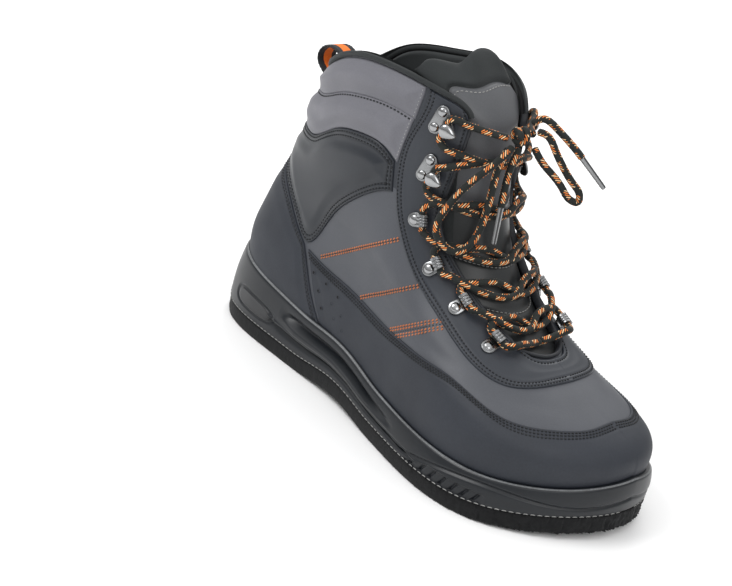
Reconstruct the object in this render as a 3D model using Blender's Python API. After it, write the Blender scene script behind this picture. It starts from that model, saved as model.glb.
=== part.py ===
"""A right wading boot, built from named sizes: felt sole, cup midsole, hollow upper, overlays and laces.

The frame has +X to the toe, +Y to the inner side, +Z up, and its origin on the ground under the heel.
Round the boot, an angle of 0 is the back of the heel and 180 the toe; the outer side is negative.
Up the boot, level 0 is the midsole's rim, -2 the footbed and 11 the collar's edge.
"""
from collections import namedtuple

import bmesh
import bpy
import numpy as np

# Driving sizes, in metres
SOLE_LENGTH = 0.311
HEEL_BACK = 0.040
BALL_WIDTH = 0.112
FELT = 0.010
MIDSOLE_FLOOR = 0.010
UPPER_HEIGHT = 0.172
HEEL_BEVEL = 0.0025
ARCH_RISE = 0.0035
TOE_SPRING = 0.0055
SOLE_FLARE = 0.0035
HEEL_FLARE = 0.0040
FELT_FLARE = 0.0028
RIM = 0.0045
WALL = 0.0025
OVERLAY = 0.0013
PADDING = 0.0040
INSOLE = 0.0032
TONGUE = 0.0048
GAP = 0.0003
SKIN_GAP = 0.0004
LACE = 0.0046
LACE_LOW = -0.0004
LEAD_TURN = 1.0
SWAY = 0.30
SWAY_TOP = 0.24
MOUTH = 0.0056
STRAP_WIDTH = 0.015
STRAP = 0.0015
STRAP_RISE = 0.0100
METAL = 0.0011
CURL_RADIUS = 0.0033
PLATE_LENGTH = 0.0125
PLATE_WIDTH = 0.0080
RIVET_RADIUS = 0.0029
AGLET_LENGTH = 0.020
AGLET = 0.0038
BADGE_ANGLE = 45.0
BADGE_HEIGHT = 0.36
KNOT_LENGTH = 0.012
KNOT = 0.0104
HEEL_DIP = 0.0120
DIP_SPREAD_OUTER = 54.0
DIP_SPREAD_INNER = 38.0
SIDE_PEAK = 0.0025
PEAK_ANGLE = 80.0
PEAK_SPREAD = 18.0
DIP_START = 8.0
LACE_OVER = 0.0014
LACE_OVER_TOP = 0.0018
BOW_REACH = 0.038
BOW_HEADING = 43.0

FOOTBED = FELT + MIDSOLE_FLOOR

# Outline of the foot, as shares of half the ball's width
OutlineRow = namedtuple("OutlineRow", "angle outer inner")
OUTLINE = [
    OutlineRow(0, 0.00, 0.00),
    OutlineRow(15, 0.31, 0.30),
    OutlineRow(30, 0.55, 0.52),
    OutlineRow(45, 0.665, 0.63),
    OutlineRow(60, 0.70, 0.62),
    OutlineRow(75, 0.74, 0.585),
    OutlineRow(90, 0.84, 0.61),
    OutlineRow(105, 1.00, 0.75),
    OutlineRow(120, 1.09, 0.93),
    OutlineRow(135, 0.97, 0.96),
    OutlineRow(150, 0.63, 0.84),
    OutlineRow(165, 0.22, 0.56),
    OutlineRow(180, -0.18, 0.18),
]

# Sections of the upper: x as shares of the sole's length, z as shares of the upper's height over the
# footbed, width as a share of half the ball's width, foot 1 for the foot's outline and 0 for an oval,
# bow the rise of the sides as a share of the height
Ring = namedtuple("Ring", "level rear_x rear_z front_x front_z outer inner foot bow")
RINGS = [
    Ring(-2, 0.034, 0.000, 0.962, 0.000, 0.860, 0.860, 1.00, 0.000),
    Ring(-1, 0.020, 0.075, 0.978, 0.027, 0.930, 0.930, 1.00, -0.018),
    Ring(0, 0.016, 0.150, 0.985, 0.062, 0.950, 0.950, 1.00, -0.035),
    Ring(1, 0.015, 0.212, 0.982, 0.125, 0.955, 0.940, 1.00, -0.018),
    Ring(2, 0.021, 0.285, 0.945, 0.182, 0.910, 0.870, 0.98, 0.012),
    Ring(3, 0.035, 0.366, 0.875, 0.240, 0.835, 0.775, 0.90, 0.023),
    Ring(4, 0.052, 0.448, 0.790, 0.303, 0.780, 0.710, 0.75, 0.023),
    Ring(5, 0.070, 0.523, 0.712, 0.388, 0.745, 0.690, 0.50, 0.017),
    Ring(6, 0.086, 0.593, 0.655, 0.500, 0.715, 0.680, 0.25, 0.012),
    Ring(7, 0.098, 0.670, 0.619, 0.622, 0.700, 0.690, 0.08, 0.006),
    Ring(8, 0.112, 0.750, 0.600, 0.750, 0.700, 0.700, 0.00, 0.005),
    Ring(9, 0.124, 0.829, 0.588, 0.862, 0.710, 0.710, 0.00, 0.017),
    Ring(10, 0.133, 0.900, 0.580, 0.941, 0.720, 0.720, 0.00, 0.036),
    Ring(11, 0.141, 0.962, 0.568, 0.994, 0.725, 0.725, 0.00, 0.060),
    Ring(12, 0.160, 1.020, 0.524, 1.075, 0.725, 0.725, 0.00, 0.045),
    Ring(13, 0.180, 1.075, 0.455, 1.150, 0.720, 0.720, 0.00, 0.026),
]

# Level of the midsole's rim round the boot: low along the forefoot and up again as a toe bumper
RimRow = namedtuple("RimRow", "angle level")
RIM_ROWS = [
    RimRow(0, 0.30),
    RimRow(40, 0.22),
    RimRow(70, 0.00),
    RimRow(100, -0.38),
    RimRow(130, -0.50),
    RimRow(152, -0.50),
    RimRow(168, -0.15),
    RimRow(180, 0.08),
]

# The fine groove along the forefoot's side, as a share of the side's height
LineRow = namedtuple("LineRow", "angle share")
LINE_ROWS = [
    LineRow(100, 0.10),
    LineRow(110, 0.24),
    LineRow(119, 0.50),
    LineRow(128, 0.70),
    LineRow(138, 0.71),
    LineRow(150, 0.47),
    LineRow(161, 0.32),
    LineRow(171, 0.36),
    LineRow(180, 0.45),
]

# Front opening: the angle of its edge at each level; the lowest row is the bottom of the U
ThroatRow = namedtuple("ThroatRow", "level angle")
THROAT = [
    ThroatRow(3.2, 150.0),
    ThroatRow(4.25, 166.0),
    ThroatRow(4.6, 161.0),
    ThroatRow(5.0, 156.0),
    ThroatRow(5.5, 150.5),
    ThroatRow(6.1, 143.5),
    ThroatRow(7.0, 136.5),
    ThroatRow(8.0, 140.0),
    ThroatRow(9.0, 145.0),
    ThroatRow(10.2, 148.5),
    ThroatRow(11.0, 147.0),
]
THROAT_BOTTOM = 4.25

# Overlays on one side: each row joins a point of the lower or outer edge to one of the upper or inner edge
EdgeRow = namedtuple("EdgeRow", "level_a angle_a level_b angle_b")
MUDGUARD = [
    EdgeRow(0.14, 71.0, 2.52, 60.5),
    EdgeRow(0.14, 84.0, 2.08, 83.0),
    EdgeRow(0.14, 98.0, 2.24, 98.0),
    EdgeRow(0.14, 112.0, 2.46, 112.0),
    EdgeRow(0.14, 125.0, 2.60, 125.0),
    EdgeRow(0.14, 138.0, 2.18, 138.0),
    EdgeRow(0.14, 152.0, 2.14, 152.0),
    EdgeRow(0.14, 166.0, 2.26, 166.0),
    EdgeRow(0.14, 180.0, 2.42, 180.0),
]
COUNTER = [
    EdgeRow(0.14, 0.0, 5.05, 0.0),
    EdgeRow(0.14, 15.0, 4.98, 14.0),
    EdgeRow(0.14, 30.0, 4.72, 27.0),
    EdgeRow(0.14, 45.0, 4.16, 41.0),
    EdgeRow(0.14, 58.0, 3.24, 51.5),
    EdgeRow(0.14, 70.0, 2.55, 58.5),
]
ANKLE = [
    EdgeRow(5.15, 0.0, 7.15, 0.0),
    EdgeRow(5.08, 14.5, 7.15, 14.0),
    EdgeRow(4.83, 28.0, 7.16, 27.0),
    EdgeRow(4.26, 42.5, 7.20, 40.0),
    EdgeRow(3.26, 53.5, 7.32, 51.5),
    EdgeRow(2.78, 60.0, 7.58, 58.0),
    EdgeRow(3.78, 66.5, 7.92, 64.5),
    EdgeRow(5.20, 76.5, 8.28, 75.0),
    EdgeRow(6.25, 90.0, 8.36, 88.0),
    EdgeRow(6.86, 101.5, 8.24, 99.5),
    EdgeRow(7.12, 109.5, 7.90, 108.5),
]
CUFF_LOWER = [
    EdgeRow(7.25, 0.0, 8.90, 0.0),
    EdgeRow(7.25, 14.0, 8.90, 14.0),
    EdgeRow(7.26, 27.0, 8.92, 27.0),
    EdgeRow(7.30, 40.0, 8.96, 40.0),
    EdgeRow(7.42, 51.5, 9.06, 52.0),
    EdgeRow(7.95, 63.5, 9.34, 64.0),
    EdgeRow(8.38, 75.0, 9.54, 77.0),
    EdgeRow(8.46, 88.5, 9.56, 94.0),
    EdgeRow(8.33, 101.0, 9.51, 106.0),
    EdgeRow(8.00, 109.8, 9.42, 116.0),
]
CUFF_UPPER = [
    EdgeRow(9.00, 0.0, 10.90, 0.0),
    EdgeRow(9.00, 14.0, 10.90, 14.0),
    EdgeRow(9.02, 27.0, 10.90, 27.0),
    EdgeRow(9.06, 40.0, 10.90, 40.0),
    EdgeRow(9.16, 52.0, 10.90, 53.0),
    EdgeRow(9.44, 64.0, 10.90, 67.0),
    EdgeRow(9.64, 77.0, 10.90, 82.0),
    EdgeRow(9.66, 95.0, 10.90, 102.0),
    EdgeRow(9.52, 116.5, 10.90, 120.5),
]
EYESTAY = [
    EdgeRow(10.90, 122.5, 10.90, 145.8),
    EdgeRow(9.60, 118.8, 10.20, 147.6),
    EdgeRow(8.45, 112.0, 9.00, 144.2),
    EdgeRow(7.20, 111.5, 8.00, 139.2),
    EdgeRow(6.10, 114.5, 7.00, 135.7),
    EdgeRow(5.10, 122.0, 6.10, 142.7),
    EdgeRow(4.30, 129.5, 5.50, 149.7),
    EdgeRow(3.60, 134.0, 5.00, 155.2),
    EdgeRow(3.22, 141.5, 4.60, 160.2),
    EdgeRow(3.28, 152.0, 4.25, 165.6),
    EdgeRow(3.50, 166.0, 4.16, 172.5),
    EdgeRow(3.58, 180.0, 4.16, 180.0),
]

# Tongue: half its width as an angle at each level, and how far its top is turned to the outer side
TongueRow = namedtuple("TongueRow", "level half_angle swell shift")
TONGUE_ROWS = [
    TongueRow(3.80, 20.0, 0.5, 0.0),
    TongueRow(4.40, 30.0, 0.6, 0.0),
    TongueRow(5.00, 37.0, 0.7, 0.0),
    TongueRow(6.10, 48.0, 0.8, 0.0),
    TongueRow(7.00, 55.0, 0.9, 0.0),
    TongueRow(8.00, 51.0, 1.0, 0.0),
    TongueRow(9.00, 46.0, 1.0, 0.0),
    TongueRow(10.20, 43.0, 1.1, 0.0),
    TongueRow(11.00, 46.0, 1.3, 3.0),
    TongueRow(11.60, 47.0, 1.5, 14.0),
    TongueRow(12.00, 47.0, 1.5, 20.0),
    TongueRow(12.70, 42.0, 1.3, 23.0),
]

# How far the tongue's top edge is below its last level, at shares of its half width (1 is the outer edge)
DropRow = namedtuple("DropRow", "share drop")
DROP_ROWS = [
    DropRow(-1.0, 0.35),
    DropRow(-0.7, 0.02),
    DropRow(-0.3, 0.02),
    DropRow(0.0, 0.20),
    DropRow(0.35, 0.28),
    DropRow(0.65, 0.45),
    DropRow(0.85, 0.80),
    DropRow(1.0, 1.30),
]

# Lace hardware from the toe up: where each piece is riveted, and which way it points
EyeletRow = namedtuple("EyeletRow", "kind level angle rise turn")
EYELETS = [
    EyeletRow("loop", 4.20, 147.0, 0.46, 12.5),
    EyeletRow("loop", 4.99, 139.5, 0.44, 11.0),
    EyeletRow("loop", 5.72, 130.5, 0.45, 10.5),
    EyeletRow("loop", 6.80, 124.0, 0.20, 8.5),
    EyeletRow("hook", 8.20, 126.5, -0.10, 8.0),
    EyeletRow("hook", 9.80, 130.0, -0.10, 8.0),
]


# The bow's loop and end on the inner side, in the upright plane through the knot, as shares of its reach
BowRow = namedtuple("BowRow", "ahead rise back")
BOW_LOOP = [
    BowRow(0.210, 0.12, 0.0),
    BowRow(0.36, 0.09, 0.0),
    BowRow(0.51, -0.08, 0.0),
    BowRow(0.70, -0.33, 0.0),
    BowRow(0.89, -0.53, 0.0),
    BowRow(1.01, -0.67, 0.0),
    BowRow(1.01, -0.78, 0.0),
    BowRow(0.90, -0.77, 0.0),
    BowRow(0.76, -0.64, 0.0),
    BowRow(0.58, -0.47, 0.0),
    BowRow(0.38, -0.31, 0.0),
    BowRow(0.22, -0.12, 0.0),
]
BOW_END = [
    BowRow(0.12, 0.175, 0.12),
    BowRow(0.26, 0.28, 0.13),
    BowRow(0.44, 0.21, 0.13),
    BowRow(0.62, 0.09, 0.10),
    BowRow(0.80, -0.04, 0.07),
    BowRow(0.93, -0.15, 0.05),
]

# The loop and end on the outer side lie on the boot: level, angle and share of the way out
LieRow = namedtuple("LieRow", "level angle out")
LYING_LOOP = [
    LieRow(9.69, 170.8, 1.20),
    LieRow(9.20, 164.5, 1.20),
    LieRow(8.80, 158.0, 1.15),
    LieRow(8.45, 152.0, 1.10),
    LieRow(8.05, 146.0, 1.15),
    LieRow(7.55, 140.5, 1.25),
    LieRow(7.10, 137.0, 1.30),
    LieRow(6.75, 136.5, 1.30),
    LieRow(6.50, 139.0, 1.20),
    LieRow(6.42, 143.5, 1.05),
    LieRow(6.62, 149.5, 0.90),
    LieRow(7.05, 156.0, 0.80),
    LieRow(7.60, 160.5, 0.74),
    LieRow(8.30, 163.5, 0.74),
    LieRow(9.00, 166.5, 0.74),
    LieRow(9.55, 171.0, 0.76),
]
LYING_END = [
    LieRow(9.56, 178.0, 0.85),
    LieRow(8.95, 175.0, 0.68),
    LieRow(8.30, 172.0, 0.64),
    LieRow(7.75, 170.0, 0.64),
]
LIE = 0.010
KNOT_PLACE = LieRow(10.1, 178.0, 0.88)


def spline(knots, values):
    """A natural cubic through rows of values."""
    x = np.asarray(knots, float)
    y = np.asarray(values, float).reshape(len(x), -1)
    n = len(x)
    h = np.diff(x)
    a = np.eye(n)
    b = np.zeros_like(y)
    for i in range(1, n - 1):
        a[i, i - 1 : i + 2] = h[i - 1], 2 * (h[i - 1] + h[i]), h[i]
        b[i] = 6 * ((y[i + 1] - y[i]) / h[i] - (y[i] - y[i - 1]) / h[i - 1])
    m = np.linalg.solve(a, b)

    def at(q):
        q = np.asarray(q, float)
        i = np.clip(np.searchsorted(x, q) - 1, 0, n - 2)
        d = (x[i + 1] - q)[..., None]
        e = (q - x[i])[..., None]
        w = h[i][..., None]
        cubic = (m[i] * d**3 + m[i + 1] * e**3) / (6 * w)
        return cubic + (y[i] / w - m[i] * w / 6) * d + (y[i + 1] / w - m[i + 1] * w / 6) * e

    return at


def outline_spline():
    loop = [(-row.angle, -row.outer) for row in OUTLINE[::-1]]
    loop += [(row.angle, row.inner) for row in OUTLINE[1:]]
    before = [(angle - 360, y) for angle, y in loop[-6:-1]]
    after = [(angle + 360, y) for angle, y in loop[1:6]]
    rows = before + loop + after
    return spline([row[0] for row in rows], [row[1] for row in rows])


FOOT = outline_spline()
SECTION = spline([row.level for row in RINGS], [row[1:] for row in RINGS])
THROAT_EDGE = spline([row.level for row in THROAT], [row.angle for row in THROAT])
RIM_LEVEL = spline([row.angle for row in RIM_ROWS], [row.level for row in RIM_ROWS])
LINE_SHARE = spline([row.angle for row in LINE_ROWS], [row.share for row in LINE_ROWS])
TONGUE_DROP = spline([row.share for row in DROP_ROWS], [row.drop for row in DROP_ROWS])


def ground_lift(x):
    """How far the sole's underside is off the ground at x from the heel's back."""
    s = x / SOLE_LENGTH
    bevel = HEEL_BEVEL * np.clip(1 - s / 0.05, 0, 1.2) ** 2
    arch = ARCH_RISE * np.sin(np.pi * np.clip((s - 0.28) / 0.28, 0, 1)) ** 2
    toe = TOE_SPRING * np.clip((s - 0.79) / 0.21, 0, 1.1) ** 1.7
    return bevel + arch + toe


def rim_level(angle):
    return RIM_LEVEL(180 - np.abs(np.asarray(angle, float) % 360 - 180))[..., 0]


def collar_rise(level, angle):
    """The collar's edge dips over the heel and rises a little on the outer side."""
    turn = (angle + 180) % 360 - 180
    spread = np.where(turn < 0, DIP_SPREAD_OUTER, DIP_SPREAD_INNER)
    dip = -HEEL_DIP * np.exp(-((turn / spread) ** 4))
    peak = SIDE_PEAK * np.exp(-(((turn + PEAK_ANGLE) / PEAK_SPREAD) ** 2))
    return (dip + peak) * np.clip((level - DIP_START) / (11 - DIP_START), 0, 1.2) ** 2


def skin(level, angle):
    """The upper's outer surface."""
    level, angle = np.broadcast_arrays(np.asarray(level, float), np.asarray(angle, float))
    row = SECTION(level)
    rear_x, rear_z, front_x, front_z, outer, inner, foot, bow = (row[..., k] for k in range(8))
    turn = np.radians(angle)
    width = (outer + inner) / 2 + (inner - outer) / 2 * np.sin(turn)
    s = (1 - np.cos(turn)) / 2
    x = SOLE_LENGTH * (rear_x + (front_x - rear_x) * s)
    shape = foot * FOOT((angle + 180) % 360 - 180)[..., 0] + (1 - foot) * np.sin(turn)
    y = BALL_WIDTH / 2 * width * shape
    rise = rear_z + (front_z - rear_z) * s + bow * np.sin(turn) ** 2
    z = FOOTBED + GAP + ground_lift(x) + UPPER_HEIGHT * rise + collar_rise(level, angle)
    return np.stack([x - HEEL_BACK, y, z], -1)


def skin_normal(level, angle):
    along = skin(level + 0.02, angle) - skin(level - 0.02, angle)
    round_it = skin(level, angle + 0.2) - skin(level, angle - 0.2)
    normal = np.cross(along, round_it)
    return normal / np.linalg.norm(normal, axis=-1, keepdims=True)


def skin_out(level, angle, out):
    """The upper's surface moved out by a distance, or in where it is negative."""
    level = np.asarray(level, float)
    angle = np.asarray(angle, float)
    return skin(level, angle) + skin_normal(level, angle) * np.asarray(out)[..., None]


def sole_edge(angle, grow, z):
    """The sole's outline, grown sideways, at a height over its own underside."""
    turn = np.radians(angle)
    s = (1 - np.cos(turn)) / 2
    x = -HEEL_FLARE - 0.4 * grow + (HEEL_FLARE + SOLE_LENGTH * 0.994 + 0.6 * grow) * s
    widest = BALL_WIDTH / 2 + grow
    y = widest * FOOT(angle)[..., 0]
    return np.stack([x - HEEL_BACK, y, z + ground_lift(x)], -1)


def side_relief(angle, h):
    """Grooves and ribs of the midsole's side, in metres outwards, over its angle and share of height."""
    a = np.abs(angle)
    fore = np.clip((a - 104) / 8, 0, 1)
    line = -0.0011 * fore * np.exp(-(((h - LINE_SHARE(np.maximum(a, 100))[..., 0]) / 0.055) ** 2))
    waist = np.clip((a - 57) / 8, 0, 1) * np.clip((106 - a) / 14, 0, 1)
    run = np.clip((a - 58) / 50, 0, 1)
    upper_groove = -0.0028 * waist * np.exp(-(((h - 0.70 + 0.12 * run) / 0.10) ** 2))
    rib = 0.0014 * waist * np.exp(-(((h - 0.49 + 0.06 * run) / 0.08) ** 2))
    lower = np.clip((a - 52) / 8, 0, 1) * np.clip((114 - a) / 8, 0, 1)
    under = -0.0016 * lower * np.exp(-(((h - 0.30 + 0.04 * run) / 0.08) ** 2))
    return line + upper_groove + rib + under


def side_surface(angle, h, out=0.0):
    """The midsole's side: h 0 at the felt and 1 at the rim."""
    angle, h = np.broadcast_arrays(np.asarray(angle, float), np.asarray(h, float))
    s = (1 - np.cos(np.radians(angle))) / 2
    foot = sole_edge(angle, SOLE_FLARE, FELT + GAP)
    rim = skin(rim_level(angle), angle)
    tip = skin(np.zeros_like(angle), angle + 0.5) - skin(np.zeros_like(angle), angle - 0.5)
    normal = np.stack([tip[..., 1], -tip[..., 0], 0 * tip[..., 0]], -1)
    normal = -normal / np.linalg.norm(normal, axis=-1, keepdims=True)
    rim = rim + normal * (RIM * (0.66 + 0.34 * s))[..., None]
    swell = 0.0012 * np.sin(np.pi * np.clip(h, 0, 1)) - 0.0008 * np.clip((h - 0.9) / 0.1, 0, 1) ** 2
    return foot + (rim - foot) * h[..., None] + normal * (swell + side_relief(angle, h) + out)[..., None]


def new_mesh(name, verts, faces):
    mesh = bpy.data.meshes.new(name)
    mesh.from_pydata([tuple(v) for v in verts], [], faces)
    work = bmesh.new()
    work.from_mesh(mesh)
    loose = [v for v in work.verts if not v.link_faces]
    bmesh.ops.delete(work, geom=loose, context="VERTS")
    bmesh.ops.remove_doubles(work, verts=work.verts, dist=1e-6)
    bmesh.ops.recalc_face_normals(work, faces=work.faces)
    work.to_mesh(mesh)
    work.free()
    return mesh


def collection(name, hidden=False):
    group = bpy.data.collections.new(name)
    bpy.context.scene.collection.children.link(group)
    group.hide_render = hidden
    return group


def material(name, colour, roughness, metallic=0.0):
    made = bpy.data.materials.get(name)
    if made:
        return made
    made = bpy.data.materials.new(name)
    made.use_nodes = True
    shader = made.node_tree.nodes["Principled BSDF"]
    shader.inputs["Base Color"].default_value = (*colour, 1)
    shader.inputs["Roughness"].default_value = roughness
    shader.inputs["Metallic"].default_value = metallic
    made.diffuse_color = (*colour, 1)
    return made


def look(kind):
    looks = {
        "felt": ((0.020, 0.020, 0.020), 1.0),
        "rubber": ((0.035, 0.036, 0.038), 0.6),
        "quarter": ((0.110, 0.115, 0.125), 0.6),
        "nubuck": ((0.030, 0.032, 0.035), 0.75),
        "smooth": ((0.045, 0.050, 0.052), 0.5),
        "eyestay": ((0.018, 0.020, 0.026), 0.6),
        "lining": ((0.012, 0.013, 0.015), 0.9),
        "plate": ((0.030, 0.032, 0.034), 0.4),
        "lace": ((0.020, 0.026, 0.020), 0.8),
        "aglet": ((0.700, 0.700, 0.680), 0.3),
    }
    if kind == "steel":
        return material("steel", (0.60, 0.60, 0.60), 0.25, 1.0)
    colour, roughness = looks[kind]
    return material(kind, colour, roughness)


def add(name, data, kind, group=None):
    thing = bpy.data.objects.new(name, data)
    (group or PARTS).objects.link(thing)
    if kind:
        data.materials.append(look(kind))
    return thing


def cutter(name, data):
    thing = add(name, data, None, CUTTERS)
    thing.display_type = "WIRE"
    thing.hide_render = True
    return thing


def boolean(thing, other, operation):
    step = thing.modifiers.new(other.name, "BOOLEAN")
    step.operation = operation
    step.object = other
    step.solver = "EXACT"


def angles(count):
    return -180 + 360 * np.arange(count) / count


def body_mesh(name, loops):
    """A solid through closed loops of one count, whose ends are closed across from side to side."""
    count = len(loops[0])
    verts = np.concatenate(loops)
    faces = []
    for k in range(len(loops) - 1):
        for j in range(count):
            n = (j + 1) % count
            faces.append((k * count + j, k * count + n, (k + 1) * count + n, (k + 1) * count + j))
    for base in (0, (len(loops) - 1) * count):
        for j in range(count // 2):
            across = [base + j, base + j + 1, base + (count - j - 1) % count, base + (count - j) % count]
            faces.append(tuple(dict.fromkeys(across)))
    return new_mesh(name, verts, faces)


def shell_mesh(name, outer, inner, keep=None, ring=False):
    """A solid between two grids of points; keep says which squares of the grid exist."""
    rows, cols = outer.shape[:2]
    spans = cols if ring else cols - 1
    if keep is None:
        keep = np.ones((rows - 1, spans), bool)
    half = rows * cols
    verts = np.concatenate([outer.reshape(-1, 3), inner.reshape(-1, 3)])
    faces = []

    def has(r, c):
        if ring:
            c %= spans
        return 0 <= r < rows - 1 and 0 <= c < spans and keep[r, c]

    def wall(a, b):
        faces.append((a, b, b + half, a + half))

    for r in range(rows - 1):
        for c in range(spans):
            if not keep[r, c]:
                continue
            n = (c + 1) % cols
            a, b, d, e = r * cols + c, r * cols + n, (r + 1) * cols + n, (r + 1) * cols + c
            faces.append((a, b, d, e))
            faces.append((e + half, d + half, b + half, a + half))
            if not has(r - 1, c):
                wall(b, a)
            if not has(r + 1, c):
                wall(e, d)
            if not has(r, c - 1):
                wall(a, e)
            if not has(r, c + 1):
                wall(d, b)
    return new_mesh(name, verts, faces)


def edge_grid(rows, along, across, mirror=True):
    """Levels and angles of an overlay, from its outer side round to its inner side."""
    knots = np.arange(len(rows), dtype=float)
    at = spline(knots, [tuple(row) for row in rows])
    p = np.linspace(0, len(rows) - 1, along)
    table = at(p)
    q = np.linspace(0, 1, across)
    level = table[:, None, 0] * (1 - q) + table[:, None, 2] * q
    angle = table[:, None, 1] * (1 - q) + table[:, None, 3] * q
    if not mirror:
        return level, -angle
    if rows[0].angle_a == 0:
        return np.concatenate([level[:0:-1], level]), np.concatenate([-angle[:0:-1], angle])
    return np.concatenate([level, level[-2::-1]]), np.concatenate([-angle, angle[-2::-1] - 360])


def overlay(name, rows, along, across, kind, on_rim=False, thick=OVERLAY):
    """A panel on the upper; on_rim counts the levels of its lower edge from the midsole's rim."""
    level, angle = edge_grid(rows, along, across)
    if on_rim:
        level = level + rim_level(angle) * np.clip((2.0 - level) / 1.86, 0, 1)
    outer = skin_out(level, angle, np.full(level.shape, SKIN_GAP + thick))
    inner = skin_out(level, angle, np.full(level.shape, SKIN_GAP))
    return add(name, shell_mesh(name, outer, inner), kind)


def make_felt():
    turn = angles(72)
    loops = [
        sole_edge(turn, FELT_FLARE - 0.0015, 0.0),
        sole_edge(turn, FELT_FLARE, 0.0018),
        sole_edge(turn, FELT_FLARE, FELT),
    ]
    return add("outsole_felt", body_mesh("outsole_felt", loops), "felt")


def patch_mesh(name, surface, centre, outline, low, high):
    """A thin solid on a surface: the outline is a list of offsets from its centre."""
    shape = np.asarray(outline, float)
    rings = [shape * 0.5, shape]
    count = len(shape)
    verts = []
    for out in (high, low):
        verts.append(surface(centre[0], centre[1], out).reshape(1, 3))
        for ring in rings:
            verts.append(surface(centre[0] + ring[:, 0], centre[1] + ring[:, 1], out))
    half = 1 + 2 * count
    faces = []
    for j in range(count):
        n = (j + 1) % count
        a, b, c, d = 1 + j, 1 + n, 1 + count + n, 1 + count + j
        faces.append((0, a, b))
        faces.append((a, d, c, b))
        faces.append((half, b + half, a + half))
        faces.append((a + half, b + half, c + half, d + half))
        faces.append((d, d + half, c + half, c))
    return new_mesh(name, np.concatenate(verts), faces)


def badge_outline(length, height, grow=0.0):
    """A long rounded shape in degrees and share of the side's height."""
    turn = np.radians(np.arange(0, 360, 30))
    x = np.sign(np.cos(turn)) * np.abs(np.cos(turn)) ** 0.5
    y = np.sign(np.sin(turn)) * np.abs(np.sin(turn)) ** 0.8
    return np.stack([(length / 2 + grow * 1.2) * x, (height / 2 + grow * 0.03) * y], -1)


def make_midsole():
    turn = angles(72)
    heights = [0.0, 0.13, 0.25, 0.36, 0.46, 0.55, 0.62, 0.69, 0.78, 0.88, 0.95, 1.0]
    loops = [side_surface(turn, h) for h in heights]
    sole = add("midsole", body_mesh("midsole", loops), "rubber")
    levels = [-2.0, -1.6, -1.0, -0.5, 0.0, 0.6]
    inside = angles(48)
    room = [skin_out(np.full(48, level), inside, np.full(48, GAP)) for level in levels]
    room[0][:, 2] = FOOTBED + ground_lift(room[0][:, 0] + HEEL_BACK)
    boolean(sole, cutter("foot_room", body_mesh("foot_room", room)), "DIFFERENCE")
    for side, sign in (("outer", -1), ("inner", 1)):
        spot = (sign * BADGE_ANGLE, BADGE_HEIGHT)
        name = f"heel_plate_{side}"
        recess = patch_mesh(f"{name}_recess", side_surface, spot, badge_outline(19, 0.30, 1.0), -0.0012, 0.003)
        boolean(sole, cutter(f"{name}_recess", recess), "DIFFERENCE")
        add(name, patch_mesh(name, side_surface, spot, badge_outline(19, 0.30), -0.0009, 0.0002), "plate")
        for k in range(8):
            centre = (sign * (113.0 + 3.3 * k), 0.33 + 0.006 * k)
            slot = [(-1.9 * sign, -0.13), (-0.9 * sign, -0.13), (1.9 * sign, 0.13), (0.9 * sign, 0.13)]
            name = f"side_slot_{side}_{k + 1}"
            mesh = patch_mesh(name, side_surface, centre, slot, -0.0011, 0.003)
            boolean(sole, cutter(name, mesh), "DIFFERENCE")
    return sole


def make_insole():
    turn = angles(48)
    loops = []
    for level, lift in ((-1.98, GAP), (-1.88, GAP + INSOLE)):
        loop = skin_out(np.full(48, level), turn, np.full(48, -(WALL + 0.0012)))
        loop[:, 2] = FOOTBED + lift + ground_lift(loop[:, 0] + HEEL_BACK)
        loops.append(loop)
    return add("insole", body_mesh("insole", loops), "lining")


def throat_angle(level):
    return THROAT_EDGE(np.maximum(level, THROAT[0].level))[..., 0]


def make_upper():
    low = [-2.0, -1.5, -1.0, -0.5, 0.0, 0.5, 1.0, 1.5, 2.0, 2.5, 3.0, 3.5, 3.9]
    high = [THROAT_BOTTOM, 4.6, 5.0, 5.5, 6.1, 6.7, 7.3, 8.0, 8.7, 9.4, 10.2, 11.0]
    levels = np.array(low + high)
    main, front = 40, 4
    edge = throat_angle(levels)[:, None]
    middle = edge * np.linspace(-1, 1, main + 1)
    left = -180 + (180 - edge) * np.arange(front) / front
    right = edge + (180 - edge) * np.arange(1, front) / front
    angle = np.concatenate([left, middle, right], axis=1)
    level = np.broadcast_to(levels[:, None], angle.shape)
    keep = np.ones((len(levels) - 1, angle.shape[1]), bool)
    keep[len(low) :, :front] = False
    keep[len(low) :, front + main :] = False
    outer = skin_out(level, angle, np.zeros(level.shape))
    inner = skin_out(level, angle, np.full(level.shape, -WALL))
    return add("upper", shell_mesh("upper", outer, inner, keep, ring=True), "quarter")


def tongue_level(level, q):
    """Levels of the tongue's points: its top edge is rounded off on the outer side."""
    share = np.clip((level - 11.0) / (TONGUE_ROWS[-1].level - 11.0), 0, 1)
    return level - share * TONGUE_DROP(q)[..., 0]


def make_tongue():
    at = spline([row.level for row in TONGUE_ROWS], [row[1:] for row in TONGUE_ROWS])
    levels = np.array([3.8, 4.4, 5.0, 5.7, 6.4, 7.1, 7.9, 8.7, 9.5, 10.3, 11.0, 11.7, 12.3, 12.7])
    table = at(levels)
    q = np.linspace(-1, 1, 13)
    angle = -180 + table[:, None, 2] + table[:, None, 0] * q
    level = tongue_level(levels[:, None], q[None])
    edge = np.clip(1 - np.abs(q) ** 4, 0.25, 1)
    face = WALL + SKIN_GAP + 0.0004
    thick = TONGUE * table[:, None, 1] * edge
    outer = skin_out(level, angle, np.full(level.shape, -face))
    inner = skin_out(level, angle, -face - thick)
    return add("tongue", shell_mesh("tongue", outer, inner), "lining")


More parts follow.
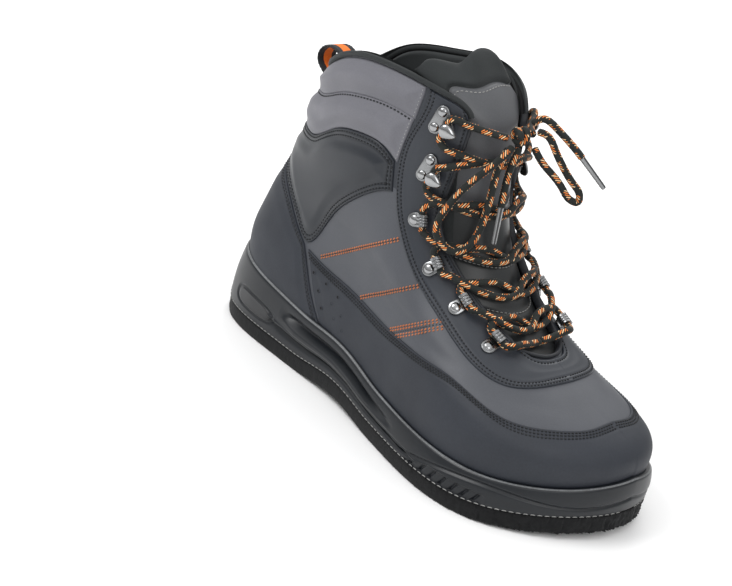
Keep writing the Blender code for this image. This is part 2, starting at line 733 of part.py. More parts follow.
def make_padding():
    levels = np.array([8.6, 9.1, 9.6, 10.1, 10.6, 10.9])
    span = throat_angle(np.full(1, 10.0))[0] - 21
    angle = np.broadcast_to(np.linspace(-span, span, 33), (6, 33))
    level = np.broadcast_to(levels[:, None], angle.shape)
    face = WALL + SKIN_GAP
    swell = np.array([0.45, 0.9, 1.0, 1.0, 0.8, 0.5])[:, None]
    outer = skin_out(level, angle, np.full(level.shape, -face))
    inner = skin_out(level, angle, -face - PADDING * swell * np.ones(level.shape))
    return add("collar_padding", shell_mesh("collar_padding", outer, inner), "lining")


def strap_line():
    """The pull loop's inner face, from its seam on the cuff round to the top of the collar."""
    outside = SKIN_GAP + OVERLAY + 0.0005
    legs = [(9.05, outside), (9.5, outside + 0.0020), (10.1, outside + 0.0085), (10.7, outside + 0.0125)]
    line = []
    for level, out in legs:
        line.append(skin(np.array(level), np.array(0.0)) - np.array([out, 0.0, 0.0]))
    start = line[-1]
    end = skin(np.array(11.0), np.array(0.0)) + np.array([WALL / 2, 0.0, 2 * GAP])
    reach = (end[0] - start[0]) / 2
    for k in range(1, 10):
        turn = np.pi * k / 10
        x = start[0] + reach - reach * 1.15 * np.cos(turn)
        z = start[2] + (end[2] - start[2]) * k / 10 + STRAP_RISE * np.sin(turn) ** 0.8
        line.append(np.array([x, 0, z]))
    return np.array(line + [end])


def make_pull_loop():
    """A webbing loop behind the collar, sewn to the cuff and to the collar's top."""
    path = strap_line()
    step = np.gradient(path, axis=0)
    side = np.stack([-step[:, 2], 0 * step[:, 0], step[:, 0]], -1)
    side /= np.linalg.norm(side, axis=-1, keepdims=True)
    across = np.array([[0, -STRAP_WIDTH / 2, 0], [0, STRAP_WIDTH / 2, 0]])
    near = path[:, None] + across
    far = near + (side * STRAP)[:, None]
    return add("pull_loop", shell_mesh("pull_loop", far, near), "lining")


def hardware_frame(row, sign):
    """Origin and axes of a piece of lace hardware: towards the throat, up along its edge, and outwards."""
    base = SKIN_GAP + OVERLAY + GAP + 0.0002
    angle = sign * row.angle
    origin = skin_out(np.array(row.level), np.array(angle), np.array(base))
    ahead = skin(np.array(row.level + row.rise), np.array(angle + sign * row.turn))
    out = skin_normal(np.array(row.level), np.array(angle))
    to_throat = ahead - skin(np.array(row.level), np.array(angle))
    to_throat -= out * (to_throat @ out)
    to_throat /= np.linalg.norm(to_throat)
    up = np.cross(out, to_throat) * -sign
    return origin, to_throat, up, out


def strip_path(kind):
    """Middle line of the bent strip in its own plane, with half its width at each point."""
    lift = METAL / 2
    tail = 0.0042
    reach = PLATE_LENGTH - tail - CURL_RADIUS
    points = [(-tail, lift, 0.0016), (-tail * 0.75, lift, 0.0030), (0.0, lift, PLATE_WIDTH / 2)]
    points.append((reach * 0.7, lift, PLATE_WIDTH / 2 - 0.0002))
    last = 270 if kind == "loop" else 180
    for turn in np.arange(0, last + 1, 30):
        x = reach + CURL_RADIUS * np.sin(np.radians(turn))
        z = lift + CURL_RADIUS * (1 - np.cos(np.radians(turn)))
        points.append((x, z, PLATE_WIDTH / 2 - 0.0006))
    if kind == "hook":
        points.append((reach - 0.0030, lift + 2 * CURL_RADIUS, PLATE_WIDTH / 2 + 0.0004))
        points.append((reach - 0.0052, lift + 2 * CURL_RADIUS + 0.0006, PLATE_WIDTH / 2 - 0.0004))
    return np.array(points)


def make_hardware(row, side, sign, number):
    origin, to_throat, up, out = hardware_frame(row, sign)
    name = f"lace_{row.kind}_{side}_{number}"

    def place(x, y, z):
        return origin + x * to_throat + y * up + z * out

    path = strip_path(row.kind)
    step = np.gradient(path[:, :2], axis=0)
    normal = np.stack([-step[:, 1], step[:, 0]], -1)
    normal /= np.linalg.norm(normal, axis=-1, keepdims=True)
    grids = []
    for shift in (METAL / 2, -METAL / 2):
        grid = []
        for (x, z, half), (nx, nz) in zip(path, normal):
            grid.append([place(x + nx * shift, y, z + nz * shift) for y in (-half, half)])
        grids.append(np.array(grid))
    thing = add(name, shell_mesh(name, grids[0], grids[1]), "steel")
    spots = [0.0] if row.kind == "loop" else [-0.0030, 0.0062]
    if row.kind == "hook":
        turn = np.radians(np.arange(0, 360, 36))
        loops = []
        for z in (-0.00015, METAL * 0.8):
            loops.append(np.array([place(0.0044 * np.sin(t), 0.0030 + 0.0078 * np.cos(t), z) for t in turn]))
        foot = cutter(f"{name}_foot", body_mesh(f"{name}_foot", loops))
        boolean(thing, foot, "UNION")
    for k, spot in enumerate(spots):
        turn = np.radians(np.arange(0, 360, 45))
        loops = []
        for z, share in ((METAL * 0.4, 1.0), (METAL + 0.0008, 1.0), (METAL + 0.0015, 0.55)):
            r = RIVET_RADIUS * share
            loops.append(np.array([place(r * np.sin(t), spot + r * np.cos(t), z) for t in turn]))
        rivet = cutter(f"{name}_rivet_{k + 1}", body_mesh(f"{name}_rivet_{k + 1}", loops))
        boolean(thing, rivet, "UNION")
    return thing


def smooth_path(points, spacing):
    """A smooth line through points, with its own points about a spacing apart."""
    points = np.asarray(points, float)
    knots = np.concatenate([[0.0], np.cumsum(np.linalg.norm(np.diff(points, axis=0), axis=1))])
    count = max(3, int(round(knots[-1] / spacing)) + 1)
    return spline(knots, points)(np.linspace(0, knots[-1], count))


def cord_data(name, points, radius, resolution):
    data = bpy.data.curves.new(name, "CURVE")
    data.dimensions = "3D"
    data.bevel_depth = radius
    data.bevel_resolution = resolution
    data.use_fill_caps = True
    line = data.splines.new("POLY")
    line.points.add(len(points) - 1)
    for spot, place in zip(line.points, points):
        spot.co = (*place, 1)
    return data


def cord(name, points, kind="lace", radius=LACE / 2):
    return add(name, cord_data(name, points, radius, 2), kind)


def tube_mesh(name, points, radius):
    """A round tube as a mesh, for the parts of the lace that are joined to each other."""
    points = np.asarray(points, float)
    step = np.gradient(points, axis=0)
    step /= np.linalg.norm(step, axis=1, keepdims=True)
    side = np.cross(step, [0.3, 0.1, 1.0])
    side /= np.linalg.norm(side, axis=1, keepdims=True)
    top = np.cross(step, side)
    loops = []
    for place, a, b in zip(points, side, top):
        turn = np.radians(np.arange(30, 390, 60))[:, None]
        loops.append(place + radius * (np.cos(turn) * a + np.sin(turn) * b))
    return body_mesh(name, loops)


def skin_place(point, level, angle):
    """Level, angle and distance out of a point near the upper, found from a first guess."""
    spot = np.array([level, angle, 0.005])
    for _ in range(8):
        here = skin_out(spot[0], spot[1], spot[2])
        ways = [skin_out(spot[0] + 0.01, spot[1], spot[2]) - here]
        ways.append(skin_out(spot[0], spot[1] + 0.1, spot[2]) - here)
        ways.append(skin_out(spot[0], spot[1], spot[2] + 1e-4) - here)
        share = np.linalg.solve(np.stack(ways, -1), point - here)
        spot = spot + share * np.array([0.01, 0.1, 1e-4])
    return spot


def mouth(number, sign, end):
    """Where the lace leaves a piece of hardware, at its upper end 1 or lower end -1, and its way there."""
    origin, to_throat, up, out = hardware_frame(EYELETS[number], sign)
    reach = PLATE_LENGTH - 0.0042 - CURL_RADIUS
    centre = origin + reach * to_throat + (METAL / 2 + CURL_RADIUS) * out
    lead = end * up + LEAD_TURN * to_throat
    return centre + end * MOUTH * up, lead / np.linalg.norm(lead), EYELETS[number]


def strand(first, last, low, rise=0.0, sway=SWAY):
    """Points of the lace from one mouth over the tongue to another, low being its rest over the skin."""
    start, way, row = first
    stop, heading, other = last
    ends = [start, start + way * 0.0033, stop + heading * 0.0033, stop]
    from_outer = start[1] < stop[1]
    a = skin_place(ends[1], row.level, -row.angle if from_outer else row.angle - 360)
    b = skin_place(ends[2], other.level, other.angle - 360 if from_outer else -other.angle)
    middle = []
    for t, rest in ((0.13, 0.85), (0.26, 0.45), (0.38, 0.1), (0.5, 0.0), (0.62, 0.1), (0.74, 0.45), (0.87, 0.85)):
        spot = a + (b - a) * t
        level = spot[0] + rise * np.sin(np.pi * t) + sway * np.sin(2 * np.pi * t) * (1.0 if t < 0.5 else 0.4)
        middle.append(skin_out(level, spot[1], low + (spot[2] - low) * rest))
    return smooth_path([ends[0], ends[1], *middle, ends[2], ends[3]], 0.0042)


def make_laces():
    """Joined crossings of the lace over the tongue, the lowest of them a plain bar."""
    bar = strand(mouth(0, -1, -1), mouth(0, 1, -1), LACE_LOW, 0.32, 0.0)
    add("lace_bar", tube_mesh("lace_bar", bar, LACE / 2), "lace")
    for k in range(len(EYELETS) - 1):
        name = f"lace_crossing_{k + 1}"
        sway, apart = (SWAY_TOP, LACE_OVER_TOP) if k == len(EYELETS) - 2 else (SWAY, LACE_OVER)
        over = strand(mouth(k, -1, 1), mouth(k + 1, 1, -1), LACE_LOW, 0.0, sway)
        under = strand(mouth(k, 1, 1), mouth(k + 1, -1, -1), LACE_LOW + apart, 0.0, sway)
        crossing = add(name, tube_mesh(name, over, LACE / 2), "lace")
        boolean(crossing, cutter(f"{name}_other", tube_mesh(f"{name}_other", under, LACE / 2)), "UNION")


def knot_centre():
    return skin_out(KNOT_PLACE.level, -KNOT_PLACE.angle, LIE * KNOT_PLACE.out)


def bow_point(row):
    turn = np.radians(BOW_HEADING)
    ahead = np.array([np.cos(turn), np.sin(turn), 0.0])
    back = np.array([-np.sin(turn), np.cos(turn), 0.0])
    up = np.array([0.0, 0.0, 1.0])
    return knot_centre() + BOW_REACH * (ahead * row.ahead + up * row.rise + back * row.back)


def lying_point(row):
    return skin_out(row.level, -row.angle, LIE * row.out)


def make_bow():
    knot = knot_centre()
    along = np.array([0.0, KNOT_LENGTH / 2, 0.0])
    cord("lace_knot", [knot - along, knot - along * 0.4, knot + along * 0.4, knot + along], "lace", KNOT / 2)
    top = len(EYELETS) - 1
    for side, sign in (("outer", -1), ("inner", 1)):
        start, way, row = mouth(top, sign, 1)
        stop = knot + sign * (along + np.array([0.0, 0.0012, 0.0]))
        near = stop + sign * np.array([-0.0004, 0.003, 0.0])
        a = skin_place(start + way * 0.0025, row.level, sign * row.angle)
        b = skin_place(near, KNOT_PLACE.level, sign * 172.0)
        points = [start, start + way * 0.0025]
        for t, rest in ((0.2, 0.0055), (0.42, 0.0042), (0.64, 0.0045), (0.84, 0.0065)):
            spot = a + (b - a) * t
            points.append(skin_out(spot[0], spot[1], rest))
        cord(f"bow_strand_{side}", smooth_path([*points, near, stop], 0.005))
    cord("bow_loop_inner", smooth_path([bow_point(row) for row in BOW_LOOP], 0.006))
    cord("bow_loop_outer", smooth_path([lying_point(row) for row in LYING_LOOP], 0.007))
    free = smooth_path([bow_point(row) for row in BOW_END], 0.007)
    lying = smooth_path([lying_point(row) for row in LYING_END], 0.007)
    for side, line in (("inner", free), ("outer", lying)):
        cord(f"bow_end_{side}", line)
        way = line[-1] - line[-2]
        way /= np.linalg.norm(way)
        start = line[-1] + way * GAP
        cord(f"aglet_{side}", [start, start + way * AGLET_LENGTH / 2, start + way * AGLET_LENGTH], "aglet", AGLET / 2)


bpy.context.preferences.edit.use_global_undo = False
for old in list(bpy.data.objects):
    bpy.data.objects.remove(old, do_unlink=True)
PARTS = collection("wading_boot")
CUTTERS = collection("cutters", hidden=True)
make_felt()
make_midsole()
make_insole()
make_upper()
make_tongue()
overlay("mudguard", MUDGUARD, 24, 8, "nubuck", on_rim=True)
overlay("heel_counter", COUNTER, 11, 7, "nubuck", on_rim=True)
overlay("ankle_panel", ANKLE, 21, 6, "smooth")
overlay("cuff_lower", CUFF_LOWER, 15, 3, "quarter")
overlay("cuff_upper", CUFF_UPPER, 15, 4, "quarter")
overlay("eyestay", EYESTAY, 24, 4, "eyestay")
make_padding()
make_pull_loop()
for hand, way in (("outer", -1), ("inner", 1)):
    for index, eyelet in enumerate(EYELETS):
        make_hardware(eyelet, hand, way, index + 1)
make_laces()
make_bow()
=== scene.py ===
"""Looks of the wading boot: rubber, leather, neoprene, steel and lace over the fixed frame."""

from collections import namedtuple

import bmesh
import bpy
import numpy as np
from mathutils import Matrix


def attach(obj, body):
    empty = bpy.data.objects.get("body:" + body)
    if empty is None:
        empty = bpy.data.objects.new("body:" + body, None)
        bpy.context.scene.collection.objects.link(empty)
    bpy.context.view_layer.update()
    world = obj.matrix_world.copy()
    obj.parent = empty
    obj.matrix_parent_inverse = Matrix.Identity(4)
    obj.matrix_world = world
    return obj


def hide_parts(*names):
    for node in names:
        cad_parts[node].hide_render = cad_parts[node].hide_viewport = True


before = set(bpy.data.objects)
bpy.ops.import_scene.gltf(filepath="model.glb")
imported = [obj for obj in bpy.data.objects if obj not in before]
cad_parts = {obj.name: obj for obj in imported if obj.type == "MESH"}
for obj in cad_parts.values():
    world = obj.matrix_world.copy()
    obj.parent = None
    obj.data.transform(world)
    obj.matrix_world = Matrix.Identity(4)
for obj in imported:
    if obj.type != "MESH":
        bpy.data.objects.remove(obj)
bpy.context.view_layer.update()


def table(kind, rows):
    """A table with named columns from plain rows."""
    return [kind(*row) for row in rows]


def unit(vectors):
    return vectors / np.linalg.norm(vectors, axis=-1, keepdims=True)


def bell(x, middle, width):
    """A smooth bump of height 1."""
    return np.exp(-(((x - middle) / width) ** 2))


def travelled(points):
    """The length run along a line up to each of its points."""
    return np.concatenate([[0.0], np.cumsum(np.linalg.norm(np.diff(points, axis=0), axis=1))])


# Driving sizes, in metres
SOLE_LENGTH = 0.311
HEEL_BACK = 0.040
BALL_WIDTH = 0.112
FELT = 0.010
MIDSOLE_FLOOR = 0.010
UPPER_HEIGHT = 0.172
HEEL_BEVEL = 0.0025
ARCH_RISE = 0.0035
TOE_SPRING = 0.0055
SOLE_FLARE = 0.0035
HEEL_FLARE = 0.0040
FELT_FLARE = 0.0028
RIM = 0.0045
WALL = 0.0025
OVERLAY = 0.0013
PADDING = 0.0040
INSOLE = 0.0032
TONGUE = 0.0048
GAP = 0.0003
SKIN_GAP = 0.0004
LACE_LOW = -0.0004
LEAD_TURN = 1.0
SWAY = 0.30
SWAY_TOP = 0.24
MOUTH = 0.0056
STRAP_WIDTH = 0.015
STRAP = 0.0015
STRAP_RISE = 0.0100
METAL = 0.0011
CURL_RADIUS = 0.0033
PLATE_LENGTH = 0.0125
RIVET_RADIUS = 0.0029
AGLET_LENGTH = 0.020
BADGE_ANGLE = 45.0
BADGE_HEIGHT = 0.36
HEEL_DIP = 0.0120
DIP_SPREAD_OUTER = 54.0
DIP_SPREAD_INNER = 38.0
SIDE_PEAK = 0.0025
PEAK_ANGLE = 80.0
PEAK_SPREAD = 18.0
DIP_START = 8.0
LACE_OVER = 0.0014
LACE_OVER_TOP = 0.0018
BOW_REACH = 0.038
BOW_HEADING = 43.0

FOOTBED = FELT + MIDSOLE_FLOOR
# From a rivet to the middle of the rolled end that holds the lace
REACH = PLATE_LENGTH - 0.0042 - CURL_RADIUS
# The collar's edge, and the lowest level of the throat's straight sides
COLLAR = 11.0
SIDES_END = 4.6

# Outline of the foot, as shares of half the ball's width
OutlineRow = namedtuple("OutlineRow", "angle outer inner")
OUTLINE = table(OutlineRow, [
    (0, 0.00, 0.00), (15, 0.31, 0.30), (30, 0.55, 0.52), (45, 0.665, 0.63), (60, 0.70, 0.62),
    (75, 0.74, 0.585), (90, 0.84, 0.61), (105, 1.00, 0.75), (120, 1.09, 0.93), (135, 0.97, 0.96),
    (150, 0.63, 0.84), (165, 0.22, 0.56), (180, -0.18, 0.18),
])

# Sections of the upper: x as shares of the sole's length, z as shares of the upper's height over the
# footbed, width as a share of half the ball's width, foot 1 for the foot's outline and 0 for an oval,
# bow the rise of the sides as a share of the height
Ring = namedtuple("Ring", "level rear_x rear_z front_x front_z outer inner foot bow")
RINGS = table(Ring, [
    (-2, 0.034, 0.000, 0.962, 0.000, 0.860, 0.860, 1.00, 0.000),
    (-1, 0.020, 0.075, 0.978, 0.027, 0.930, 0.930, 1.00, -0.018),
    (0, 0.016, 0.150, 0.985, 0.062, 0.950, 0.950, 1.00, -0.035),
    (1, 0.015, 0.212, 0.982, 0.125, 0.955, 0.940, 1.00, -0.018),
    (2, 0.021, 0.285, 0.945, 0.182, 0.910, 0.870, 0.98, 0.012),
    (3, 0.035, 0.366, 0.875, 0.240, 0.835, 0.775, 0.90, 0.023),
    (4, 0.052, 0.448, 0.790, 0.303, 0.780, 0.710, 0.75, 0.023),
    (5, 0.070, 0.523, 0.712, 0.388, 0.745, 0.690, 0.50, 0.017),
    (6, 0.086, 0.593, 0.655, 0.500, 0.715, 0.680, 0.25, 0.012),
    (7, 0.098, 0.670, 0.619, 0.622, 0.700, 0.690, 0.08, 0.006),
    (8, 0.112, 0.750, 0.600, 0.750, 0.700, 0.700, 0.00, 0.005),
    (9, 0.124, 0.829, 0.588, 0.862, 0.710, 0.710, 0.00, 0.017),
    (10, 0.133, 0.900, 0.580, 0.941, 0.720, 0.720, 0.00, 0.036),
    (11, 0.141, 0.962, 0.568, 0.994, 0.725, 0.725, 0.00, 0.060),
    (12, 0.160, 1.020, 0.524, 1.075, 0.725, 0.725, 0.00, 0.045),
    (13, 0.180, 1.075, 0.455, 1.150, 0.720, 0.720, 0.00, 0.026),
])

# Level of the midsole's rim round the boot: low along the forefoot and up again as a toe bumper
RimRow = namedtuple("RimRow", "angle level")
RIM_ROWS = table(RimRow, [
    (0, 0.30), (40, 0.22), (70, 0.00), (100, -0.38), (130, -0.50), (152, -0.50), (168, -0.15),
    (180, 0.08),
])

# The fine groove along the forefoot's side, as a share of the side's height
LineRow = namedtuple("LineRow", "angle share")
LINE_ROWS = table(LineRow, [
    (100, 0.10), (110, 0.24), (119, 0.50), (128, 0.70), (138, 0.71), (150, 0.47), (161, 0.32),
    (171, 0.36), (180, 0.45),
])

# Front opening: the angle of its edge at each level; the lowest row is the bottom of the U
ThroatRow = namedtuple("ThroatRow", "level angle")
THROAT = table(ThroatRow, [
    (3.2, 150.0), (4.25, 166.0), (4.6, 161.0), (5.0, 156.0), (5.5, 150.5), (6.1, 143.5), (7.0, 136.5),
    (8.0, 140.0), (9.0, 145.0), (10.2, 148.5), (11.0, 147.0),
])
THROAT_BOTTOM = 4.25

# Overlays on one side: each row joins a point of the lower or outer edge to one of the upper or inner edge
EdgeRow = namedtuple("EdgeRow", "level_a angle_a level_b angle_b")
MUDGUARD = table(EdgeRow, [
    (0.14, 71.0, 2.52, 60.5), (0.14, 84.0, 2.08, 83.0), (0.14, 98.0, 2.24, 98.0),
    (0.14, 112.0, 2.46, 112.0), (0.14, 125.0, 2.60, 125.0), (0.14, 138.0, 2.18, 138.0),
    (0.14, 152.0, 2.14, 152.0), (0.14, 166.0, 2.26, 166.0), (0.14, 180.0, 2.42, 180.0),
])
COUNTER = table(EdgeRow, [
    (0.14, 0.0, 5.05, 0.0), (0.14, 15.0, 4.98, 14.0), (0.14, 30.0, 4.72, 27.0),
    (0.14, 45.0, 4.16, 41.0), (0.14, 58.0, 3.24, 51.5), (0.14, 70.0, 2.55, 58.5),
])
ANKLE = table(EdgeRow, [
    (5.15, 0.0, 7.15, 0.0), (5.08, 14.5, 7.15, 14.0), (4.83, 28.0, 7.16, 27.0),
    (4.26, 42.5, 7.20, 40.0), (3.26, 53.5, 7.32, 51.5), (2.78, 60.0, 7.58, 58.0),
    (3.78, 66.5, 7.92, 64.5), (5.20, 76.5, 8.28, 75.0), (6.25, 90.0, 8.36, 88.0),
    (6.86, 101.5, 8.24, 99.5), (7.12, 109.5, 7.90, 108.5),
])
CUFF_LOWER = table(EdgeRow, [
    (7.25, 0.0, 8.90, 0.0), (7.25, 14.0, 8.90, 14.0), (7.26, 27.0, 8.92, 27.0),
    (7.30, 40.0, 8.96, 40.0), (7.42, 51.5, 9.06, 52.0), (7.95, 63.5, 9.34, 64.0),
    (8.38, 75.0, 9.54, 77.0), (8.46, 88.5, 9.56, 94.0), (8.33, 101.0, 9.51, 106.0),
    (8.00, 109.8, 9.42, 116.0),
])
CUFF_UPPER = table(EdgeRow, [
    (9.00, 0.0, 10.90, 0.0), (9.00, 14.0, 10.90, 14.0), (9.02, 27.0, 10.90, 27.0),
    (9.06, 40.0, 10.90, 40.0), (9.16, 52.0, 10.90, 53.0), (9.44, 64.0, 10.90, 67.0),
    (9.64, 77.0, 10.90, 82.0), (9.66, 95.0, 10.90, 102.0), (9.52, 116.5, 10.90, 120.5),
])
EYESTAY = table(EdgeRow, [
    (10.90, 122.5, 10.90, 145.8), (9.60, 118.8, 10.20, 147.6), (8.45, 112.0, 9.00, 144.2),
    (7.20, 111.5, 8.00, 139.2), (6.10, 114.5, 7.00, 135.7), (5.10, 122.0, 6.10, 142.7),
    (4.30, 129.5, 5.50, 149.7), (3.60, 134.0, 5.00, 155.2), (3.22, 141.5, 4.60, 160.2),
    (3.28, 152.0, 4.25, 165.6), (3.50, 166.0, 4.16, 172.5), (3.58, 180.0, 4.16, 180.0),
])

# Tongue: half its width as an angle at each level, and how far its top is turned to the outer side
TongueRow = namedtuple("TongueRow", "level half_angle swell shift")
TONGUE_ROWS = table(TongueRow, [
    (3.80, 20.0, 0.5, 0.0), (4.40, 30.0, 0.6, 0.0), (5.00, 37.0, 0.7, 0.0), (6.10, 48.0, 0.8, 0.0),
    (7.00, 55.0, 0.9, 0.0), (8.00, 51.0, 1.0, 0.0), (9.00, 46.0, 1.0, 0.0), (10.20, 43.0, 1.1, 0.0),
    (11.00, 46.0, 1.3, 3.0), (11.60, 47.0, 1.5, 14.0), (12.00, 47.0, 1.5, 20.0),
    (12.70, 42.0, 1.3, 23.0),
])

# How far the tongue's top edge is below its last level, at shares of its half width (1 is the outer edge)
DropRow = namedtuple("DropRow", "share drop")
DROP_ROWS = table(DropRow, [
    (-1.0, 0.35), (-0.7, 0.02), (-0.3, 0.02), (0.0, 0.20), (0.35, 0.28), (0.65, 0.45), (0.85, 0.80),
    (1.0, 1.30),
])

# Lace hardware from the toe up: where each piece is riveted, and which way it points
EyeletRow = namedtuple("EyeletRow", "kind level angle rise turn")
EYELETS = table(EyeletRow, [
    ("loop", 4.20, 147.0, 0.46, 12.5), ("loop", 4.99, 139.5, 0.44, 11.0),
    ("loop", 5.72, 130.5, 0.45, 10.5), ("loop", 6.80, 124.0, 0.20, 8.5),
    ("hook", 8.20, 126.5, -0.10, 8.0), ("hook", 9.80, 130.0, -0.10, 8.0),
])


# The bow's loop and end on the inner side, in the upright plane through the knot, as shares of its reach
BowRow = namedtuple("BowRow", "ahead rise back")
BOW_LOOP = table(BowRow, [
    (0.210, 0.12, 0.0), (0.36, 0.09, 0.0), (0.51, -0.08, 0.0), (0.70, -0.33, 0.0), (0.89, -0.53, 0.0),
    (1.01, -0.67, 0.0), (1.01, -0.78, 0.0), (0.90, -0.77, 0.0), (0.76, -0.64, 0.0), (0.58, -0.47, 0.0),
    (0.38, -0.31, 0.0), (0.22, -0.12, 0.0),
])
BOW_END = table(BowRow, [
    (0.12, 0.175, 0.12), (0.26, 0.28, 0.13), (0.44, 0.21, 0.13), (0.62, 0.09, 0.10),
    (0.80, -0.04, 0.07), (0.93, -0.15, 0.05),
])

# The loop and end on the outer side lie on the boot: level, angle and share of the way out
LieRow = namedtuple("LieRow", "level angle out")
LYING_LOOP = table(LieRow, [
    (9.69, 170.8, 1.20), (9.20, 164.5, 1.20), (8.80, 158.0, 1.15), (8.45, 152.0, 1.10),
    (8.05, 146.0, 1.15), (7.55, 140.5, 1.25), (7.10, 137.0, 1.30), (6.75, 136.5, 1.30),
    (6.50, 139.0, 1.20), (6.42, 143.5, 1.05), (6.62, 149.5, 0.90), (7.05, 156.0, 0.80),
    (7.60, 160.5, 0.74), (8.30, 163.5, 0.74), (9.00, 166.5, 0.74), (9.55, 171.0, 0.76),
])
LYING_END = table(LieRow, [
    (9.56, 178.0, 0.85), (8.95, 175.0, 0.68), (8.30, 172.0, 0.64), (7.75, 170.0, 0.64),
])
LIE = 0.010
KNOT_PLACE = LieRow(10.1, 178.0, 0.88)


def spline(knots, values):
    """A natural cubic through rows of values."""
    x = np.asarray(knots, float)
    y = np.asarray(values, float).reshape(len(x), -1)
    n = len(x)
    h = np.diff(x)
    a = np.eye(n)
    b = np.zeros_like(y)
    for i in range(1, n - 1):
        a[i, i - 1 : i + 2] = h[i - 1], 2 * (h[i - 1] + h[i]), h[i]
        b[i] = 6 * ((y[i + 1] - y[i]) / h[i] - (y[i] - y[i - 1]) / h[i - 1])
    m = np.linalg.solve(a, b)

    def at(q):
        q = np.asarray(q, float)
        i = np.clip(np.searchsorted(x, q) - 1, 0, n - 2)
        d = (x[i + 1] - q)[..., None]
        e = (q - x[i])[..., None]
        w = h[i][..., None]
        cubic = (m[i] * d**3 + m[i + 1] * e**3) / (6 * w)
        return cubic + (y[i] / w - m[i] * w / 6) * d + (y[i + 1] / w - m[i + 1] * w / 6) * e

    return at


def outline_spline():
    loop = [(-row.angle, -row.outer) for row in OUTLINE[::-1]]
    loop += [(row.angle, row.inner) for row in OUTLINE[1:]]
    before = [(angle - 360, y) for angle, y in loop[-6:-1]]
    after = [(angle + 360, y) for angle, y in loop[1:6]]
    rows = before + loop + after
    return spline([row[0] for row in rows], [row[1] for row in rows])


FOOT = outline_spline()
SECTION = spline([row.level for row in RINGS], [row[1:] for row in RINGS])
THROAT_EDGE = spline([row.level for row in THROAT], [row.angle for row in THROAT])
RIM_LEVEL = spline([row.angle for row in RIM_ROWS], [row.level for row in RIM_ROWS])
LINE_SHARE = spline([row.angle for row in LINE_ROWS], [row.share for row in LINE_ROWS])
TONGUE_DROP = spline([row.share for row in DROP_ROWS], [row.drop for row in DROP_ROWS])


def ground_lift(x):
    """How far the sole's underside is off the ground at x from the heel's back."""
    s = x / SOLE_LENGTH
    bevel = HEEL_BEVEL * np.clip(1 - s / 0.05, 0, 1.2) ** 2
    arch = ARCH_RISE * np.sin(np.pi * np.clip((s - 0.28) / 0.28, 0, 1)) ** 2
    toe = TOE_SPRING * np.clip((s - 0.79) / 0.21, 0, 1.1) ** 1.7
    return bevel + arch + toe


def rim_level(angle):
    return RIM_LEVEL(180 - np.abs(np.asarray(angle, float) % 360 - 180))[..., 0]


def collar_rise(level, angle):
    """The collar's edge dips over the heel and rises a little on the outer side."""
    turn = (angle + 180) % 360 - 180
    spread = np.where(turn < 0, DIP_SPREAD_OUTER, DIP_SPREAD_INNER)
    dip = -HEEL_DIP * np.exp(-((turn / spread) ** 4))
    peak = SIDE_PEAK * bell(turn, -PEAK_ANGLE, PEAK_SPREAD)
    return (dip + peak) * np.clip((level - DIP_START) / (COLLAR - DIP_START), 0, 1.2) ** 2


def skin(level, angle):
    """The upper's outer surface."""
    level, angle = np.broadcast_arrays(np.asarray(level, float), np.asarray(angle, float))
    row = SECTION(level)
    rear_x, rear_z, front_x, front_z, outer, inner, foot, bow = (row[..., k] for k in range(8))
    turn = np.radians(angle)
    width = (outer + inner) / 2 + (inner - outer) / 2 * np.sin(turn)
    s = (1 - np.cos(turn)) / 2
    x = SOLE_LENGTH * (rear_x + (front_x - rear_x) * s)
    shape = foot * FOOT((angle + 180) % 360 - 180)[..., 0] + (1 - foot) * np.sin(turn)
    y = BALL_WIDTH / 2 * width * shape
    rise = rear_z + (front_z - rear_z) * s + bow * np.sin(turn) ** 2
    z = FOOTBED + GAP + ground_lift(x) + UPPER_HEIGHT * rise + collar_rise(level, angle)
    return np.stack([x - HEEL_BACK, y, z], -1)


def skin_normal(level, angle):
    along = skin(level + 0.02, angle) - skin(level - 0.02, angle)
    round_it = skin(level, angle + 0.2) - skin(level, angle - 0.2)
    normal = np.cross(along, round_it)
    return unit(normal)


def skin_out(level, angle, out):
    """The upper's surface moved out by a distance, or in where it is negative."""
    level = np.asarray(level, float)
    angle = np.asarray(angle, float)
    return skin(level, angle) + skin_normal(level, angle) * np.asarray(out)[..., None]


def sole_edge(angle, grow, z):
    """The sole's outline, grown sideways, at a height over its own underside."""
    turn = np.radians(angle)
    s = (1 - np.cos(turn)) / 2
    x = -HEEL_FLARE - 0.4 * grow + (HEEL_FLARE + SOLE_LENGTH * 0.994 + 0.6 * grow) * s
    widest = BALL_WIDTH / 2 + grow
    y = widest * FOOT(angle)[..., 0]
    return np.stack([x - HEEL_BACK, y, z + ground_lift(x)], -1)


def side_relief(angle, h):
    """Grooves and ribs of the midsole's side, in metres outwards, over its angle and share of height."""
    a = np.abs(angle)
    fore = np.clip((a - 104) / 8, 0, 1)
    line = -0.0011 * fore * bell(h, LINE_SHARE(np.maximum(a, 100))[..., 0], 0.055)
    waist = np.clip((a - 57) / 8, 0, 1) * np.clip((106 - a) / 14, 0, 1)
    run = np.clip((a - 58) / 50, 0, 1)
    upper_groove = -0.0028 * waist * bell(h + 0.12 * run, 0.70, 0.10)
    rib = 0.0014 * waist * bell(h + 0.06 * run, 0.49, 0.08)
    lower = np.clip((a - 52) / 8, 0, 1) * np.clip((114 - a) / 8, 0, 1)
    under = -0.0016 * lower * bell(h + 0.04 * run, 0.30, 0.08)
    return line + upper_groove + rib + under


